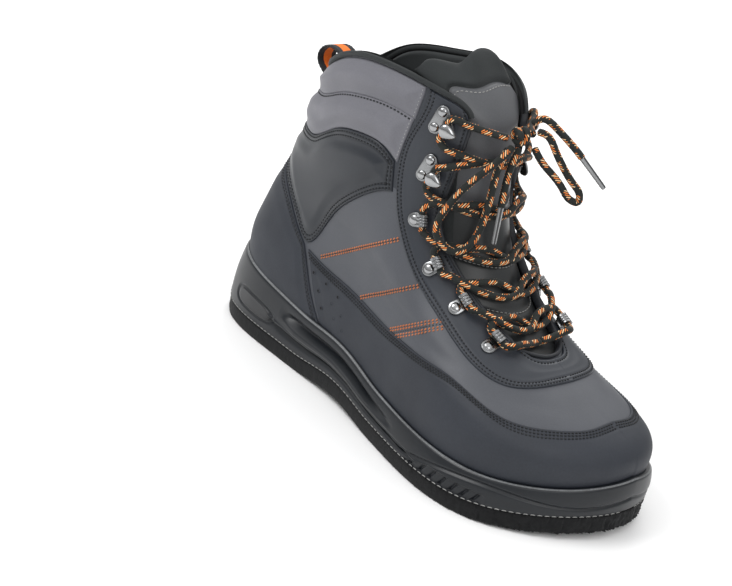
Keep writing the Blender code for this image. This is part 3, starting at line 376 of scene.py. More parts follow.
def side_surface(angle, h, out=0.0):
    """The midsole's side: h 0 at the felt and 1 at the rim."""
    angle, h = np.broadcast_arrays(np.asarray(angle, float), np.asarray(h, float))
    s = (1 - np.cos(np.radians(angle))) / 2
    foot = sole_edge(angle, SOLE_FLARE, FELT + GAP)
    rim = skin(rim_level(angle), angle)
    tip = skin(np.zeros_like(angle), angle + 0.5) - skin(np.zeros_like(angle), angle - 0.5)
    normal = np.stack([tip[..., 1], -tip[..., 0], 0 * tip[..., 0]], -1)
    normal = -unit(normal)
    rim = rim + normal * (RIM * (0.66 + 0.34 * s))[..., None]
    swell = 0.0012 * np.sin(np.pi * np.clip(h, 0, 1)) - 0.0008 * np.clip((h - 0.9) / 0.1, 0, 1) ** 2
    return foot + (rim - foot) * h[..., None] + normal * (swell + side_relief(angle, h) + out)[..., None]


def throat_angle(level):
    return THROAT_EDGE(np.maximum(level, THROAT[0].level))[..., 0]


def hardware_frame(row, sign):
    """Origin and axes of a piece of lace hardware: towards the throat, up along its edge, and outwards."""
    base = SKIN_GAP + OVERLAY + GAP + 0.0002
    angle = sign * row.angle
    origin = skin_out(np.array(row.level), np.array(angle), np.array(base))
    ahead = skin(np.array(row.level + row.rise), np.array(angle + sign * row.turn))
    out = skin_normal(np.array(row.level), np.array(angle))
    to_throat = ahead - skin(np.array(row.level), np.array(angle))
    to_throat -= out * (to_throat @ out)
    to_throat = unit(to_throat)
    up = np.cross(out, to_throat) * -sign
    return origin, to_throat, up, out


def smooth_path(points, spacing):
    """A smooth line through points, with its own points about a spacing apart."""
    points = np.asarray(points, float)
    knots = travelled(points)
    count = max(3, int(round(knots[-1] / spacing)) + 1)
    return spline(knots, points)(np.linspace(0, knots[-1], count))


def skin_place(point, level, angle):
    """Level, angle and distance out of a point near the upper, found from a first guess."""
    spot = np.array([level, angle, 0.005])
    for _ in range(8):
        here = skin_out(spot[0], spot[1], spot[2])
        ways = [skin_out(spot[0] + 0.01, spot[1], spot[2]) - here]
        ways.append(skin_out(spot[0], spot[1] + 0.1, spot[2]) - here)
        ways.append(skin_out(spot[0], spot[1], spot[2] + 1e-4) - here)
        share = np.linalg.solve(np.stack(ways, -1), point - here)
        spot = spot + share * np.array([0.01, 0.1, 1e-4])
    return spot


def mouth(number, sign, end):
    """Where the lace leaves a piece of hardware, at its upper end 1 or lower end -1, and its way there."""
    origin, to_throat, up, out = hardware_frame(EYELETS[number], sign)
    centre = origin + REACH * to_throat + (METAL / 2 + CURL_RADIUS) * out
    lead = end * up + LEAD_TURN * to_throat
    return centre + end * MOUTH * up, unit(lead), EYELETS[number]


def strand(first, last, low, rise=0.0, sway=SWAY):
    """Points of the lace from one mouth over the tongue to another, low being its rest over the skin."""
    start, way, row = first
    stop, heading, other = last
    ends = [start, start + way * 0.0033, stop + heading * 0.0033, stop]
    from_outer = start[1] < stop[1]
    a = skin_place(ends[1], row.level, -row.angle if from_outer else row.angle - 360)
    b = skin_place(ends[2], other.level, other.angle - 360 if from_outer else -other.angle)
    middle = []
    rests = [(0.13, 0.85), (0.26, 0.45), (0.38, 0.1), (0.5, 0.0), (0.62, 0.1), (0.74, 0.45), (0.87, 0.85)]
    for t, rest in rests:
        spot = a + (b - a) * t
        level = spot[0] + rise * np.sin(np.pi * t) + sway * np.sin(2 * np.pi * t) * (1.0 if t < 0.5 else 0.4)
        middle.append(skin_out(level, spot[1], low + (spot[2] - low) * rest))
    return smooth_path([ends[0], ends[1], *middle, ends[2], ends[3]], 0.0042)


def knot_centre():
    return skin_out(KNOT_PLACE.level, -KNOT_PLACE.angle, LIE * KNOT_PLACE.out)


def bow_point(row):
    turn = np.radians(BOW_HEADING)
    ahead = np.array([np.cos(turn), np.sin(turn), 0.0])
    back = np.array([-np.sin(turn), np.cos(turn), 0.0])
    up = np.array([0.0, 0.0, 1.0])
    return knot_centre() + BOW_REACH * (ahead * row.ahead + up * row.rise + back * row.back)


def lying_point(row):
    return skin_out(row.level, -row.angle, LIE * row.out)


def strap_line():
    """The pull loop's inner face, from its seam on the cuff round to the top of the collar."""
    outside = SKIN_GAP + OVERLAY + 0.0005
    legs = [(9.05, outside), (9.5, outside + 0.0020), (10.1, outside + 0.0085), (10.7, outside + 0.0125)]
    line = []
    for level, out in legs:
        line.append(skin(np.array(level), np.array(0.0)) - np.array([out, 0.0, 0.0]))
    start = line[-1]
    end = skin(np.array(COLLAR), np.array(0.0)) + np.array([WALL / 2, 0.0, 2 * GAP])
    reach = (end[0] - start[0]) / 2
    for k in range(1, 10):
        turn = np.pi * k / 10
        x = start[0] + reach - reach * 1.15 * np.cos(turn)
        z = start[2] + (end[2] - start[2]) * k / 10 + STRAP_RISE * np.sin(turn) ** 0.8
        line.append(np.array([x, 0, z]))
    return np.array(line + [end])


def tongue_level(level, q):
    """Levels of the tongue's points: its top edge is rounded off on the outer side."""
    share = np.clip((level - COLLAR) / (TONGUE_ROWS[-1].level - COLLAR), 0, 1)
    return level - share * TONGUE_DROP(q)[..., 0]


# Camera, fitted to the photograph: heading, height and roll in degrees, distance and shift in metres
AZIMUTH = 43.236
ELEVATION = 23.80
ROLL = 11.919
DISTANCE = 0.90
SENSOR = 36
LENS = 1536.48 * SENSOR / 732
AIM = (0.09, 0.0, 0.09)
AIM_RIGHT = -0.028
AIM_UP = -0.024

# Looks: base colour, how far it varies, roughness, grain per metre, grain depth
Look = namedtuple("Look", "colour vary rough grain depth")
LOOKS = {
    "felt": Look((0.0028, 0.0031, 0.0038), 0.5, 1.0, 900, 0.9),
    "rubber": Look((0.0052, 0.0070, 0.0098), 0.16, 0.38, 1500, 0.10),
    "rubber_worn": Look((0.13, 0.135, 0.14), 0.5, 0.45, 1500, 0.10),
    "quarter": Look((0.064, 0.068, 0.079), 0.10, 0.50, 2400, 0.16),
    "cuff": Look((0.136, 0.136, 0.154), 0.10, 0.52, 2400, 0.14),
    "nubuck": Look((0.0190, 0.0225, 0.0305), 0.16, 0.60, 1800, 0.16),
    "smooth": Look((0.0145, 0.0175, 0.0230), 0.12, 0.38, 2600, 0.10),
    "eyestay": Look((0.024, 0.028, 0.036), 0.12, 0.44, 2600, 0.10),
    "edge": Look((0.014, 0.016, 0.020), 0.20, 0.55, 2600, 0.10),
    "lining": Look((0.018, 0.021, 0.022), 0.20, 0.80, 3200, 0.35),
    # Near-black painted shade for the boot's inside and for the drain holes
    "hollow_shade": Look((0.004, 0.004, 0.005), 0.20, 0.95, 3200, 0.20),
    "tongue_grey": Look((0.078, 0.081, 0.088), 0.12, 0.40, 2600, 0.10),
    "tongue_dark": Look((0.018, 0.020, 0.021), 0.20, 0.35, 2600, 0.10),
    "plate": Look((0.010, 0.011, 0.013), 0.10, 0.34, 1500, 0.06),
    "webbing": Look((0.010, 0.011, 0.013), 0.25, 0.80, 3600, 0.50),
    "webbing_orange": Look((0.80, 0.17, 0.012), 0.12, 0.75, 3600, 0.50),
    "lace": Look((0.0036, 0.0060, 0.0046), 0.35, 0.75, 4200, 0.50),
    "lace_orange": Look((0.80, 0.22, 0.035), 0.15, 0.70, 4200, 0.40),
    "lace_cream": Look((0.86, 0.58, 0.32), 0.15, 0.70, 4200, 0.40),
    "thread_dark": Look((0.007, 0.008, 0.010), 0.20, 0.60, 6000, 0.30),
    "thread_light": Look((0.30, 0.30, 0.29), 0.15, 0.60, 6000, 0.30),
    "thread_orange": Look((0.46, 0.150, 0.055), 0.30, 0.60, 6000, 0.30),
    "steel": Look((0.25, 0.255, 0.26), 0.10, 0.26, 900, 0.05),
    # Darker and brighter copies of the steel: painted shade round the rivets and under the hook heads,
    # painted highlight on their domes
    "steel_painted_shade": Look((0.030, 0.031, 0.033), 0.10, 0.45, 900, 0.05),
    "steel_painted_highlight": Look((0.34, 0.345, 0.35), 0.06, 0.14, 900, 0.05),
    "aglet": Look((0.22, 0.225, 0.23), 0.08, 0.20, 900, 0.02),
    "aglet_core": Look((0.030, 0.030, 0.032), 0.08, 0.20, 900, 0.02),
}


def stand(name, data, right, up, back, place):
    """An object in the scene at a place, with its own axes."""
    thing = bpy.data.objects.new(name, data)
    thing.matrix_world = Matrix([(right[k], up[k], back[k], place[k]) for k in range(3)] + [(0, 0, 0, 1)])
    bpy.context.scene.collection.objects.link(thing)
    return thing


def camera():
    az, el, roll = np.radians([AZIMUTH, ELEVATION, ROLL])
    back = np.array([np.sin(az) * np.cos(el), -np.cos(az) * np.cos(el), np.sin(el)])
    flat = np.array([np.cos(az), np.sin(az), 0.0])
    above = np.cross(back, flat)
    right = np.cos(roll) * flat + np.sin(roll) * above
    up = -np.sin(roll) * flat + np.cos(roll) * above
    place = np.array(AIM) + back * DISTANCE + right * AIM_RIGHT + up * AIM_UP
    data = bpy.data.cameras.new("camera")
    data.lens = LENS
    data.sensor_width = SENSOR
    bpy.context.scene.camera = stand("camera", data, right, up, back, place)


def add_node(tree, kind, values=None, feeds=None):
    """A shader node with constant inputs, and inputs fed by other nodes."""
    node = tree.nodes.new("ShaderNode" + kind)
    for socket, value in (values or {}).items():
        node.inputs[socket].default_value = value
    for socket, source in (feeds or {}).items():
        tree.links.new(source, node.inputs[socket])
    return node


def material(kind):
    made = bpy.data.materials.get("look_" + kind)
    if made:
        return made
    row = LOOKS[kind]
    made = bpy.data.materials.new("look_" + kind)
    made.use_nodes = True
    tree = made.node_tree
    shader = tree.nodes["Principled BSDF"]
    place = add_node(tree, "TexCoord").outputs["Object"]

    def noise(scale, detail):
        node = add_node(tree, "TexNoise", {"Scale": scale, "Detail": detail}, {"Vector": place})
        return node.outputs["Fac"]

    mottle = add_node(tree, "Math", feeds={0: noise(34, 3), 1: noise(row.grain * 0.5, 2)})
    half = add_node(tree, "Math", {1: 0.5}, {0: mottle.outputs[0]})
    half.operation = "MULTIPLY"
    ramp = add_node(tree, "ValToRGB", feeds={"Fac": half.outputs[0]})
    stops = zip(ramp.color_ramp.elements, (0.30, 0.70), (1 - row.vary, 1 + row.vary))
    for stop, spot, share in stops:
        stop.position = spot
        stop.color = (*[c * share for c in row.colour], 1)
    tree.links.new(ramp.outputs["Color"], shader.inputs["Base Color"])
    range_ends = {"To Min": max(0.04, row.rough - 0.10), "To Max": min(1.0, row.rough + 0.10)}
    gloss = add_node(tree, "MapRange", range_ends, {"Value": noise(60, 4)})
    tree.links.new(gloss.outputs["Result"], shader.inputs["Roughness"])
    if kind in ("quarter", "cuff", "smooth", "eyestay", "tongue_grey", "nubuck"):
        pores = add_node(tree, "TexVoronoi", {"Scale": row.grain * 0.55}, {"Vector": place})
        feeds = {0: pores.outputs["Distance"], 1: noise(row.grain * 0.3, 3)}
        grain = add_node(tree, "Math", feeds=feeds).outputs[0]
    else:
        grain = noise(row.grain, 4)
    relief = {"Strength": min(1.0, row.depth * 2), "Distance": 0.00022 * row.depth}
    bump = add_node(tree, "Bump", relief, {"Height": grain})
    settings = {"Specular IOR Level": 0.42}
    if kind in ("steel", "steel_painted_highlight"):
        settings["Metallic"] = 1.0
    else:
        tree.links.new(bump.outputs["Normal"], shader.inputs["Normal"])
    if kind == "aglet":
        settings.update({"Coat Weight": 1.0, "Coat Roughness": 0.05})
    if kind in ("felt", "lining", "webbing", "lace"):
        settings.update({"Sheen Weight": 0.06, "Sheen Roughness": 0.5})
    for socket, value in settings.items():
        shader.inputs[socket].default_value = value
    return made


def quads(rows, cols, ring=False, first=0):
    index = first + np.arange(rows * cols).reshape(rows, cols)
    if ring:
        index = np.concatenate([index, index[:, :1]], axis=1)
    return np.stack([index[:-1, :-1], index[:-1, 1:], index[1:, 1:], index[1:, :-1]], -1).reshape(-1, 4)


def loft_faces(count, around):
    """Faces of closed loops with both ends closed across."""
    faces = quads(count, around, ring=True).tolist()
    for base in (0, (count - 1) * around):
        for j in range(around // 2):
            cap = [base + j, base + j + 1, base + (around - j - 1) % around, base + (around - j) % around]
            faces.append(list(dict.fromkeys(cap)))
    return faces


def sheet_faces(rows, cols):
    """Faces of a sheet: its front, its back and the wall round its rim, and the count of the wall's faces."""
    count = rows * cols
    index = np.arange(count).reshape(rows, cols)
    rim = np.concatenate([index[0], index[1:, -1], index[-1, -2::-1], index[-2:0:-1, 0]])
    ahead = np.roll(rim, -1)
    wall = np.stack([rim, ahead, ahead + count, rim + count], -1)
    return np.concatenate([quads(rows, cols), quads(rows, cols, first=count)[:, ::-1], wall]), len(wall)


def show(name, mesh, nodes=()):
    """A smooth object of a mesh, on the boot's body and in place of its nodes."""
    mesh.polygons.foreach_set("use_smooth", np.ones(len(mesh.polygons), bool))
    thing = bpy.data.objects.new(name, mesh)
    bpy.context.scene.collection.objects.link(thing)
    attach(thing, "root")
    if nodes:
        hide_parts(*nodes)
    return thing


def put(name, verts, faces, kinds, which=None, nodes=(), sharp=None):
    """A piece from points and faces; which gives each face's material, sharp the angle of hard edges."""
    mesh = bpy.data.meshes.new(name)
    mesh.from_pydata(np.asarray(verts, float).reshape(-1, 3).tolist(), [], [list(map(int, f)) for f in faces])
    for kind in [kinds] if isinstance(kinds, str) else kinds:
        mesh.materials.append(material(kind))
    if which is not None:
        mesh.polygons.foreach_set("material_index", np.asarray(which, np.int32))
    work = bmesh.new()
    work.from_mesh(mesh)
    bmesh.ops.remove_doubles(work, verts=work.verts, dist=1e-6)
    bmesh.ops.recalc_face_normals(work, faces=work.faces)
    if sharp:
        for edge in work.edges:
            edge.smooth = len(edge.link_faces) == 2 and edge.calc_face_angle() < np.radians(sharp)
    work.to_mesh(mesh)
    work.free()
    return show(name, mesh, nodes)


def ease(t):
    t = np.clip(t, 0, 1)
    return t * t * (3 - 2 * t)


def dome(t):
    return np.sqrt(np.clip(1 - (1 - np.clip(t, 0, 1)) ** 2, 0, 1))


# Soft creases of the upper: level and angle of the middle, half length and half width in degrees,
# slant of the crease in levels per degree, depth
Crease = namedtuple("Crease", "level angle long wide slant depth")
CREASES = table(Crease, [
    (3.05, 118, 16, 3.2, 0.004, -0.0006), (3.45, 108, 14, 3.0, -0.010, -0.0005),
    (2.85, 148, 18, 3.0, 0.002, -0.0004), (4.30, 92, 15, 4.5, -0.020, -0.0006),
    (6.60, 84, 9, 2.4, 0.045, -0.0008), (7.00, 96, 7, 2.0, 0.060, -0.0006),
    (6.10, 30, 14, 4.0, 0.015, -0.0007), (8.15, 55, 20, 3.0, -0.010, -0.0005),
    (9.90, 70, 18, 5.0, 0.010, -0.0006), (1.60, 120, 22, 5.0, 0.004, -0.0004),
])


def soft(level, angle):
    """Listed creases and a slow wave, as metres outwards."""
    turn = (np.asarray(angle, float) + 180) % 360 - 180
    total = 0.00022 * np.sin(turn * 0.11 + 1.3 * level) * np.sin(level * 1.7 + 0.6)
    for row in CREASES:
        for side, lean in ((-1, 0.0), (1, 3.0)):
            along = np.abs(turn) - row.angle - lean
            across = (level - row.level - row.slant * along) * 12
            near = np.exp(-((along / row.long) ** 2) - (across / row.wide) ** 2)
            total = total + row.depth * near * (turn * side > 0)
    return total


# How far the collar's front corners are rounded off: levels down, and degrees along
CORNER_DROP = 0.55
CORNER_REACH = 10.0


def corner(level, angle):
    """Levels with the collar's front corners rounded off."""
    turn = np.abs((angle + 180) % 360 - 180)
    share = np.clip((turn - throat_angle(np.array([COLLAR]))[0]) / CORNER_REACH + 1, 0, 1)
    return level - CORNER_DROP * (1 - np.sqrt(1 - 0.999 * share**2)) * ease((level - 9.6) / 1.4)


def outside(level, angle, out=0.0):
    level, angle = np.broadcast_arrays(np.asarray(level, float), np.asarray(angle, float))
    return skin_out(corner(level, angle), angle, soft(level, angle) + out)


# How far the panels' edges are let into the upper
TUCK = -0.0002

# Panels: seams are lines of stitches as (edge, distance from it), where a and b are the table's edges and
# e its ends
Panel = namedtuple("Panel", "rows along across thick lip puff margin spread seams rim grow_a grow_b")
PANELS = {
    "mudguard": Panel(MUDGUARD, 250, 46, 0.0013, 0.0012, 0.0004, 0.007, 0.008,
                      (("b", 0.0020), ("b", 0.0037), ("b", 0.0054)), True, 0, 0),
    "heel_counter": Panel(COUNTER, 130, 60, 0.0017, 0.0012, 0.0005, 0.006, 0.010,
                          (("b", 0.0020), ("b", 0.0042), ("e", 0.0020), ("e", 0.0042)), True, 0, 0.03),
    "ankle_panel": Panel(ANKLE, 190, 50, 0.0015, 0.0014, 0.0016, 0.0058, 0.0085,
                         (("a", 0.0018), ("a", 0.0043), ("b", 0.0018), ("b", 0.0043), ("e", 0.0018),
                          ("e", 0.0043)), False, 0.03, 0.05),
    "cuff_lower": Panel(CUFF_LOWER, 160, 34, 0.0014, 0.0016, 0.0026, 0.0010, 0.009, (("b", 0.0016),), False,
                        0.05, 0.06),
    "cuff_upper": Panel(CUFF_UPPER, 160, 34, 0.0014, 0.0016, 0.0028, 0.0006, 0.010, (), False, 0.06, 0),
    "eyestay": Panel(EYESTAY, 300, 44, 0.0017, 0.0012, 0.0003, 0.006, 0.006,
                     (("a", 0.0014), ("a", 0.0036), ("b", 0.0026)), False, 0, 0),
}


def panel_at(panel, p, q, side):
    """Level and angle at p along the rows and q across them, on one side of the boot."""
    rows = [tuple(row) for row in panel.rows]
    wrap = 0 if rows[0][1] == 0 else 360
    if wrap:
        a, b, c, d = rows[-2]
        rows = [*rows, (a, wrap - b, c, wrap - d)]
        spot = spline(np.arange(len(rows)), rows)(p)
    else:
        a, b, c, d = rows[1]
        rows = [(a, -b, c, -d), *rows]
        spot = spline(np.arange(-1, len(rows) - 1), rows)(p)
    low = spot[..., 0] - panel.grow_a - (0.34 if panel.rim else 0)
    level = low * (1 - q) + (spot[..., 2] + panel.grow_b) * q
    angle = spot[..., 1] * (1 - q) + spot[..., 3] * q
    if panel.rim:
        level = level + rim_level(angle) * np.clip((2.0 - level) / 1.86, 0, 1)
    return level, angle * side


def panel_lift(panel, near):
    """Height of a panel from the distances to its edges."""
    rim = np.minimum(np.minimum(near["a"], near["b"]), near["e"])
    lift = panel.thick * dome(rim / panel.lip) + panel.puff * ease((rim - panel.margin) / panel.spread)
    for edge, place in panel.seams:
        clear = np.minimum.reduce([near[k] for k in near if k != edge] + [near[edge] + 1.0])
        lift = lift - 0.00040 * bell(near[edge], place, 0.0007) * (clear > place * 0.8)
    return lift


def make_panel(name, kind):
    panel = PANELS[name]
    last = len(panel.rows) - 1
    centre_first = panel.rows[0].angle_a == 0
    run = 1 - np.cos(np.linspace(0, np.pi / 2, panel.along))
    run = run * last if not centre_first else (last - run * last)
    q = (1 - np.cos(np.linspace(0, np.pi, panel.across))) / 2
    p_grid, q_grid = np.meshgrid(run, q, indexing="ij")
    outer = panel_at(panel, p_grid, q_grid, -1)
    inner = panel_at(panel, p_grid, q_grid, 1)
    wrap = 0 if centre_first else 360
    level = np.concatenate([outer[0], inner[0][-2::-1]])
    angle = np.concatenate([outer[1], inner[1][-2::-1] - wrap])
    place = skin(level, angle)
    step = np.linalg.norm(np.diff(place, axis=1), axis=2)
    a = np.pad(np.cumsum(step, axis=1), ((0, 0), (1, 0)))
    run_step = np.linalg.norm(np.diff(place, axis=0), axis=2)
    along = np.pad(np.cumsum(run_step, axis=0), ((1, 0), (0, 0)))
    near = {"a": a, "b": a[:, -1:] - a, "e": np.minimum(along, along[-1:] - along)}
    if panel.rim:
        near["a"] = near["a"] + 0.02
    lift = panel_lift(panel, near)
    verts = outside(level, angle, TUCK + lift)
    return put(name + "_panel", verts, quads(*level.shape), kind, nodes=[name])


def edge_path(panel, edge, offset, side, count=260):
    """Levels and angles of a line at a distance inside a panel's edge, with its height over the skin."""
    last = len(panel.rows) - 1
    if edge == "e":
        end = last if panel.rows[0].angle_a == 0 else 0
        nudge = 1e-3 if end == 0 else -1e-3
        q = np.linspace(0.02, 0.98, count)
        here = skin(*panel_at(panel, np.full(count, float(end)), q, side))
        there = skin(*panel_at(panel, np.full(count, end + nudge), q, side))
        p = end + nudge * offset / np.linalg.norm(there - here, axis=1)
    else:
        p = np.linspace(0.0, last, count)
        base = np.zeros(count) if edge == "a" else np.ones(count)
        way = 1e-3 if edge == "a" else -1e-3
        here = skin(*panel_at(panel, p, base, side))
        there = skin(*panel_at(panel, p, base + way, side))
        q = base + way * offset / np.linalg.norm(there - here, axis=1)
    level, angle = panel_at(panel, p, q, side)
    lift = TUCK + panel.thick * dome(offset / panel.lip) - 0.00022
    return outside(level, angle, lift), skin_normal(level, angle)


def walk(points, normals, pitch, start=0.5):
    """Places at even steps along a line, with the line's direction and the surface's normal there."""
    gone = travelled(points)
    spots = np.arange(start * pitch, gone[-1] - 0.4 * pitch, pitch)

    def at(places, values):
        return np.stack([np.interp(places, gone, values[:, k]) for k in range(3)], -1)

    way = at(spots + pitch * 0.3, points) - at(spots - pitch * 0.3, points)
    way = way / np.maximum(np.linalg.norm(way, axis=1, keepdims=True), 1e-9)
    return at(spots, points), way, unit(at(spots, normals))


# Rings of one stitch: place along it, share of its radius, and rise over the surface in radii
STITCH = ((-1, 0.35, -0.9), (-0.6, 0.9, 0.1), (0, 1.0, 0.35), (0.6, 0.9, 0.1), (1, 0.35, -0.9))
STITCH_SIDES = 5


def stitches(points, normals, pitch, length, radius, slant=0.0, shift=0.0):
    """Verts of a row of stitches that dip into the surface at both ends."""
    centre, way, normal = walk(points, normals, pitch)
    side = np.cross(normal, way)
    centre = centre + side * shift
    way = unit(way + side * slant)
    side = np.cross(normal, way)
    verts = []
    for t, share, sink in STITCH:
        ring = centre + way * (t * length / 2) + normal * (radius * sink)
        for turn in 2 * np.pi * np.arange(STITCH_SIDES) / STITCH_SIDES:
            verts.append(ring + radius * share * (np.cos(turn) * side + np.sin(turn) * normal))
    return np.stack(verts, 1)


def put_stitches(name, rows, kind):
    """One piece of many stitches."""
    verts = np.concatenate(rows)
    one = quads(len(STITCH), STITCH_SIDES, ring=True)
    starts = len(STITCH) * STITCH_SIDES * np.arange(len(verts))
    faces = (one[None] + starts[:, None, None]).reshape(-1, 4)
    mesh = bpy.data.meshes.new(name)
    mesh.from_pydata(verts.reshape(-1, 3).tolist(), [], faces.tolist())
    mesh.materials.append(material(kind))
    return show(name, mesh)


# Sole
# Loops of the felt from its underside up: growth past its outline, and height
FELT_LOOPS = ((-0.020, 0.0), (-0.004, 0.0), (-0.0010, 0.0), (-0.0003, 0.0006), (0, 0.0018), (0, 0.004),
              (0.0002, 0.006), (0, 0.008), (-0.0001, 0.0096), (-0.0004, FELT), (-0.004, FELT), (-0.02, FELT))


def make_felt():
    turn = np.arange(-180, 180, 0.5)
    rough = np.random.default_rng(7)
    loops = []
    for grow, z in FELT_LOOPS:
        loop = sole_edge(turn, FELT_FLARE + grow, z)
        fuzz = 0.00013 * rough.standard_normal(len(turn)) * (grow > -0.002)
        loop[:, :2] *= (1 + fuzz / 0.08)[:, None]
        loops.append(loop)
    put("felt_pad", loops, loft_faces(len(loops), len(turn)), "felt", nodes=["outsole_felt"])


# The hatched panel low on the sides: the angles of its ends, the step and slant of its ribs
HATCH_START = 109.0
HATCH_END = 136.5
HATCH_STEP = 3.2
HATCH_SLANT = 1.5


def hatch(angle, h):
    """A shallow recess along the felt with slanted slots."""
    a = np.abs(angle)
    share = np.clip((a - HATCH_START) / (HATCH_END - HATCH_START), 0, 1)
    top = 0.05 + 0.42 * np.clip(1 - np.abs(2 * share - 1.12) ** 4 / 1.6, 0, 1) ** 0.7 * ease(share / 0.45)
    ends = ease(share / 0.06) * ease((1 - share) / 0.05)
    inside = ease((top - h) / 0.035) * ease((h - 0.035) / 0.02) * ends
    part = ((a - HATCH_START) / HATCH_STEP - h * HATCH_SLANT) % 1.0
    slot = bell(part, 0.5, 0.13) * ease((top - 0.05 - h) / 0.05)
    return inside * (-0.00070 - 0.00130 * slot)


def waist(angle, h):
    """Crisp edges of the grooves and the bead at the waist."""
    a = np.abs(angle)
    run = np.clip((a - 58) / 50, 0, 1)
    fade = ease((a - 58) / 5) * ease((107 - a) / 16)
    groove = -0.0016 * fade * bell(h + 0.12 * run, 0.70, 0.045)
    ridge = 0.0010 * fade * bell(h + 0.10 * run, 0.57, 0.040)
    long = ease((a - 50) / 5) * ease((118 - a) / 8)
    bead = 0.0009 * long * bell(h + 0.10 * run, 0.40, 0.026)
    under = -0.0009 * long * bell(h + 0.10 * run, 0.33, 0.030)
    return groove + ridge + bead + under


def make_midsole():
    base = np.arange(0, 180, 0.5)
    turn = np.unique(np.concatenate([base, np.arange(33, 60, 0.25), np.arange(106, 144, 0.2)]))
    turn = np.concatenate([-turn[:0:-1], turn])
    turn = np.concatenate([[-180.0], turn])
    heights = [0.0, 0.012, 0.03, *np.linspace(0.06, 0.90, 44), 0.925, 0.945, 0.96, 0.975, 0.99]
    h, angle = np.meshgrid(heights, turn, indexing="ij")
    edge = -0.0009 * (1 - dome(h / 0.06)) - 0.0011 * (1 - dome((1.0 - h) / 0.07))
    across, above = np.abs(np.abs(angle) - BADGE_ANGLE) / 10.4, np.abs(h - BADGE_HEIGHT) / 0.18
    badge = (across**3 + above**2.5) ** 0.37
    dish = -0.0009 * ease((1.14 - badge) / 0.12) + 0.0006 * ease((1.0 - badge) / 0.10)
    side = side_surface(angle, h, edge + hatch(angle, h) + waist(angle, h) + dish)
    foot = sole_edge(turn, SOLE_FLARE - 0.02, FELT + GAP)
    level = rim_level(turn)
    lip = skin_out(level + 0.03, turn, np.full(len(turn), 0.0022))
    inner = skin_out(level, turn, np.full(len(turn), 0.0002))
    low = skin_out(level - 0.5, turn, np.full(len(turn), 0.0001))
    floor = skin_out(np.full(len(turn), -2.0), turn, np.full(len(turn), -0.012))
    floor[:, 2] = FOOTBED + ground_lift(floor[:, 0] + HEEL_BACK)
    loops = np.concatenate([foot[None], side, lip[None], inner[None], low[None], floor[None]])
    faces = loft_faces(len(loops), len(turn))
    which = np.zeros(len(faces), int)
    which[(len(heights) - 2) * len(turn) : len(heights) * len(turn)] = 1
    put("midsole_cup", loops, faces, ["rubber", "rubber_worn"], which, nodes=["midsole"])
    dashes = []
    for sign in (-1, 1):
        line = sign * np.linspace(2, 178, 900)
        height = np.full(900, 0.035)
        points = side_surface(line, height, 0.0001)
        ahead = side_surface(line, height + 0.01, 0.0001) - points
        along = np.gradient(points, axis=0)
        normal = unit(np.cross(along, ahead) * sign)
        dashes.append(stitches(points, normal, 0.0038, 0.0026, 0.00028))
    put_stitches("sole_stitch", dashes, "thread_light")


# Loops of a heel plate from its rim inwards: share of its size, and rise over the midsole's side
PLATE_LOOPS = ((1.0, -0.0009), (0.97, 0.0), (0.90, 0.0003), (0.80, 0.0002), (0.5, 0.0002), (0.25, 0.0002))


def make_plates():
    """The bare rounded plates on the heel's sides."""
    for side, sign in (("outer", -1), ("inner", 1)):
        turn = np.radians(np.arange(0, 360, 6))
        x = np.sign(np.cos(turn)) * np.abs(np.cos(turn)) ** 0.5
        y = np.sign(np.sin(turn)) * np.abs(np.sin(turn)) ** 0.8
        loops = []
        for share, lift in PLATE_LOOPS:
            place = BADGE_ANGLE + 9.5 * share * x
            loops.append(side_surface(sign * place, BADGE_HEIGHT + 0.15 * share * y, lift))
        centre = side_surface(sign * BADGE_ANGLE, BADGE_HEIGHT, 0.0002)
        verts = np.concatenate([*loops, centre.reshape(1, 3)])
        faces = quads(len(loops), len(turn), ring=True).tolist()
        base = (len(loops) - 1) * len(turn)
        faces += [[base + j, base + (j + 1) % len(turn), len(verts) - 1] for j in range(len(turn))]
        put(f"plate_bare_{side}", verts, faces, "plate", nodes=[f"heel_plate_{side}"])


# Upper
def make_upper():
    low = np.linspace(-2.0, THROAT_BOTTOM, 60)
    high = np.linspace(THROAT_BOTTOM, COLLAR, 76)[1:]
    levels = np.concatenate([low, high])
    main, front = 280, 20
    edge = throat_angle(levels)[:, None]
    middle = edge * np.linspace(-1, 1, main + 1)
    left = -180 + (180 - edge) * np.arange(front) / front
    right = edge + (180 - edge) * np.arange(1, front) / front
    angle = np.concatenate([left, middle, right], axis=1)
    level = np.broadcast_to(levels[:, None], angle.shape)
    cols = angle.shape[1]
    outer = outside(level, angle)
    inner = skin_out(corner(level, angle), angle, soft(level, angle) * 0.3 - WALL)
    keep = np.ones((len(levels) - 1, cols), bool)
    keep[len(low) - 1 :, :front] = False
    keep[len(low) - 1 :, front + main :] = False
    flat = keep.reshape(-1)
    face = quads(len(levels), cols, ring=True)[flat]
    half = len(levels) * cols
    faces = [face, face[:, ::-1] + half]
    walls = []
    index = np.arange(half).reshape(len(levels), cols)
    count = len(low) - 1
    for row in range(count, len(levels) - 1):
        for col in (front, front + main):
            a, b = index[row, col], index[row + 1, col]
            walls.append((a, b, b + half, a + half))
    for row, cut in ((0, range(cols)), (len(levels) - 1, range(front, front + main)),
                     (count, [*range(front), *range(front + main, cols)])):
        for col in cut:
            a, b = index[row, col], index[row, (col + 1) % cols]
            walls.append((a, b, b + half, a + half))
    corner_of = face[:, 0]
    strip = (level.reshape(-1)[corner_of] > 7.15) & (np.abs(angle.reshape(-1)[corner_of]) > 100)
    # The inside faces and cut walls are near-black: painted shade of the boot's inside
    which = np.concatenate([strip * 2, np.ones(len(face)), np.ones(len(walls))])
    verts = np.concatenate([outer.reshape(-1, 3), inner.reshape(-1, 3)])
    faces = np.concatenate([*faces, np.array(walls)])
    put("upper_shell", verts, faces, ["quarter", "hollow_shade", "eyestay"], which, nodes=["upper"])


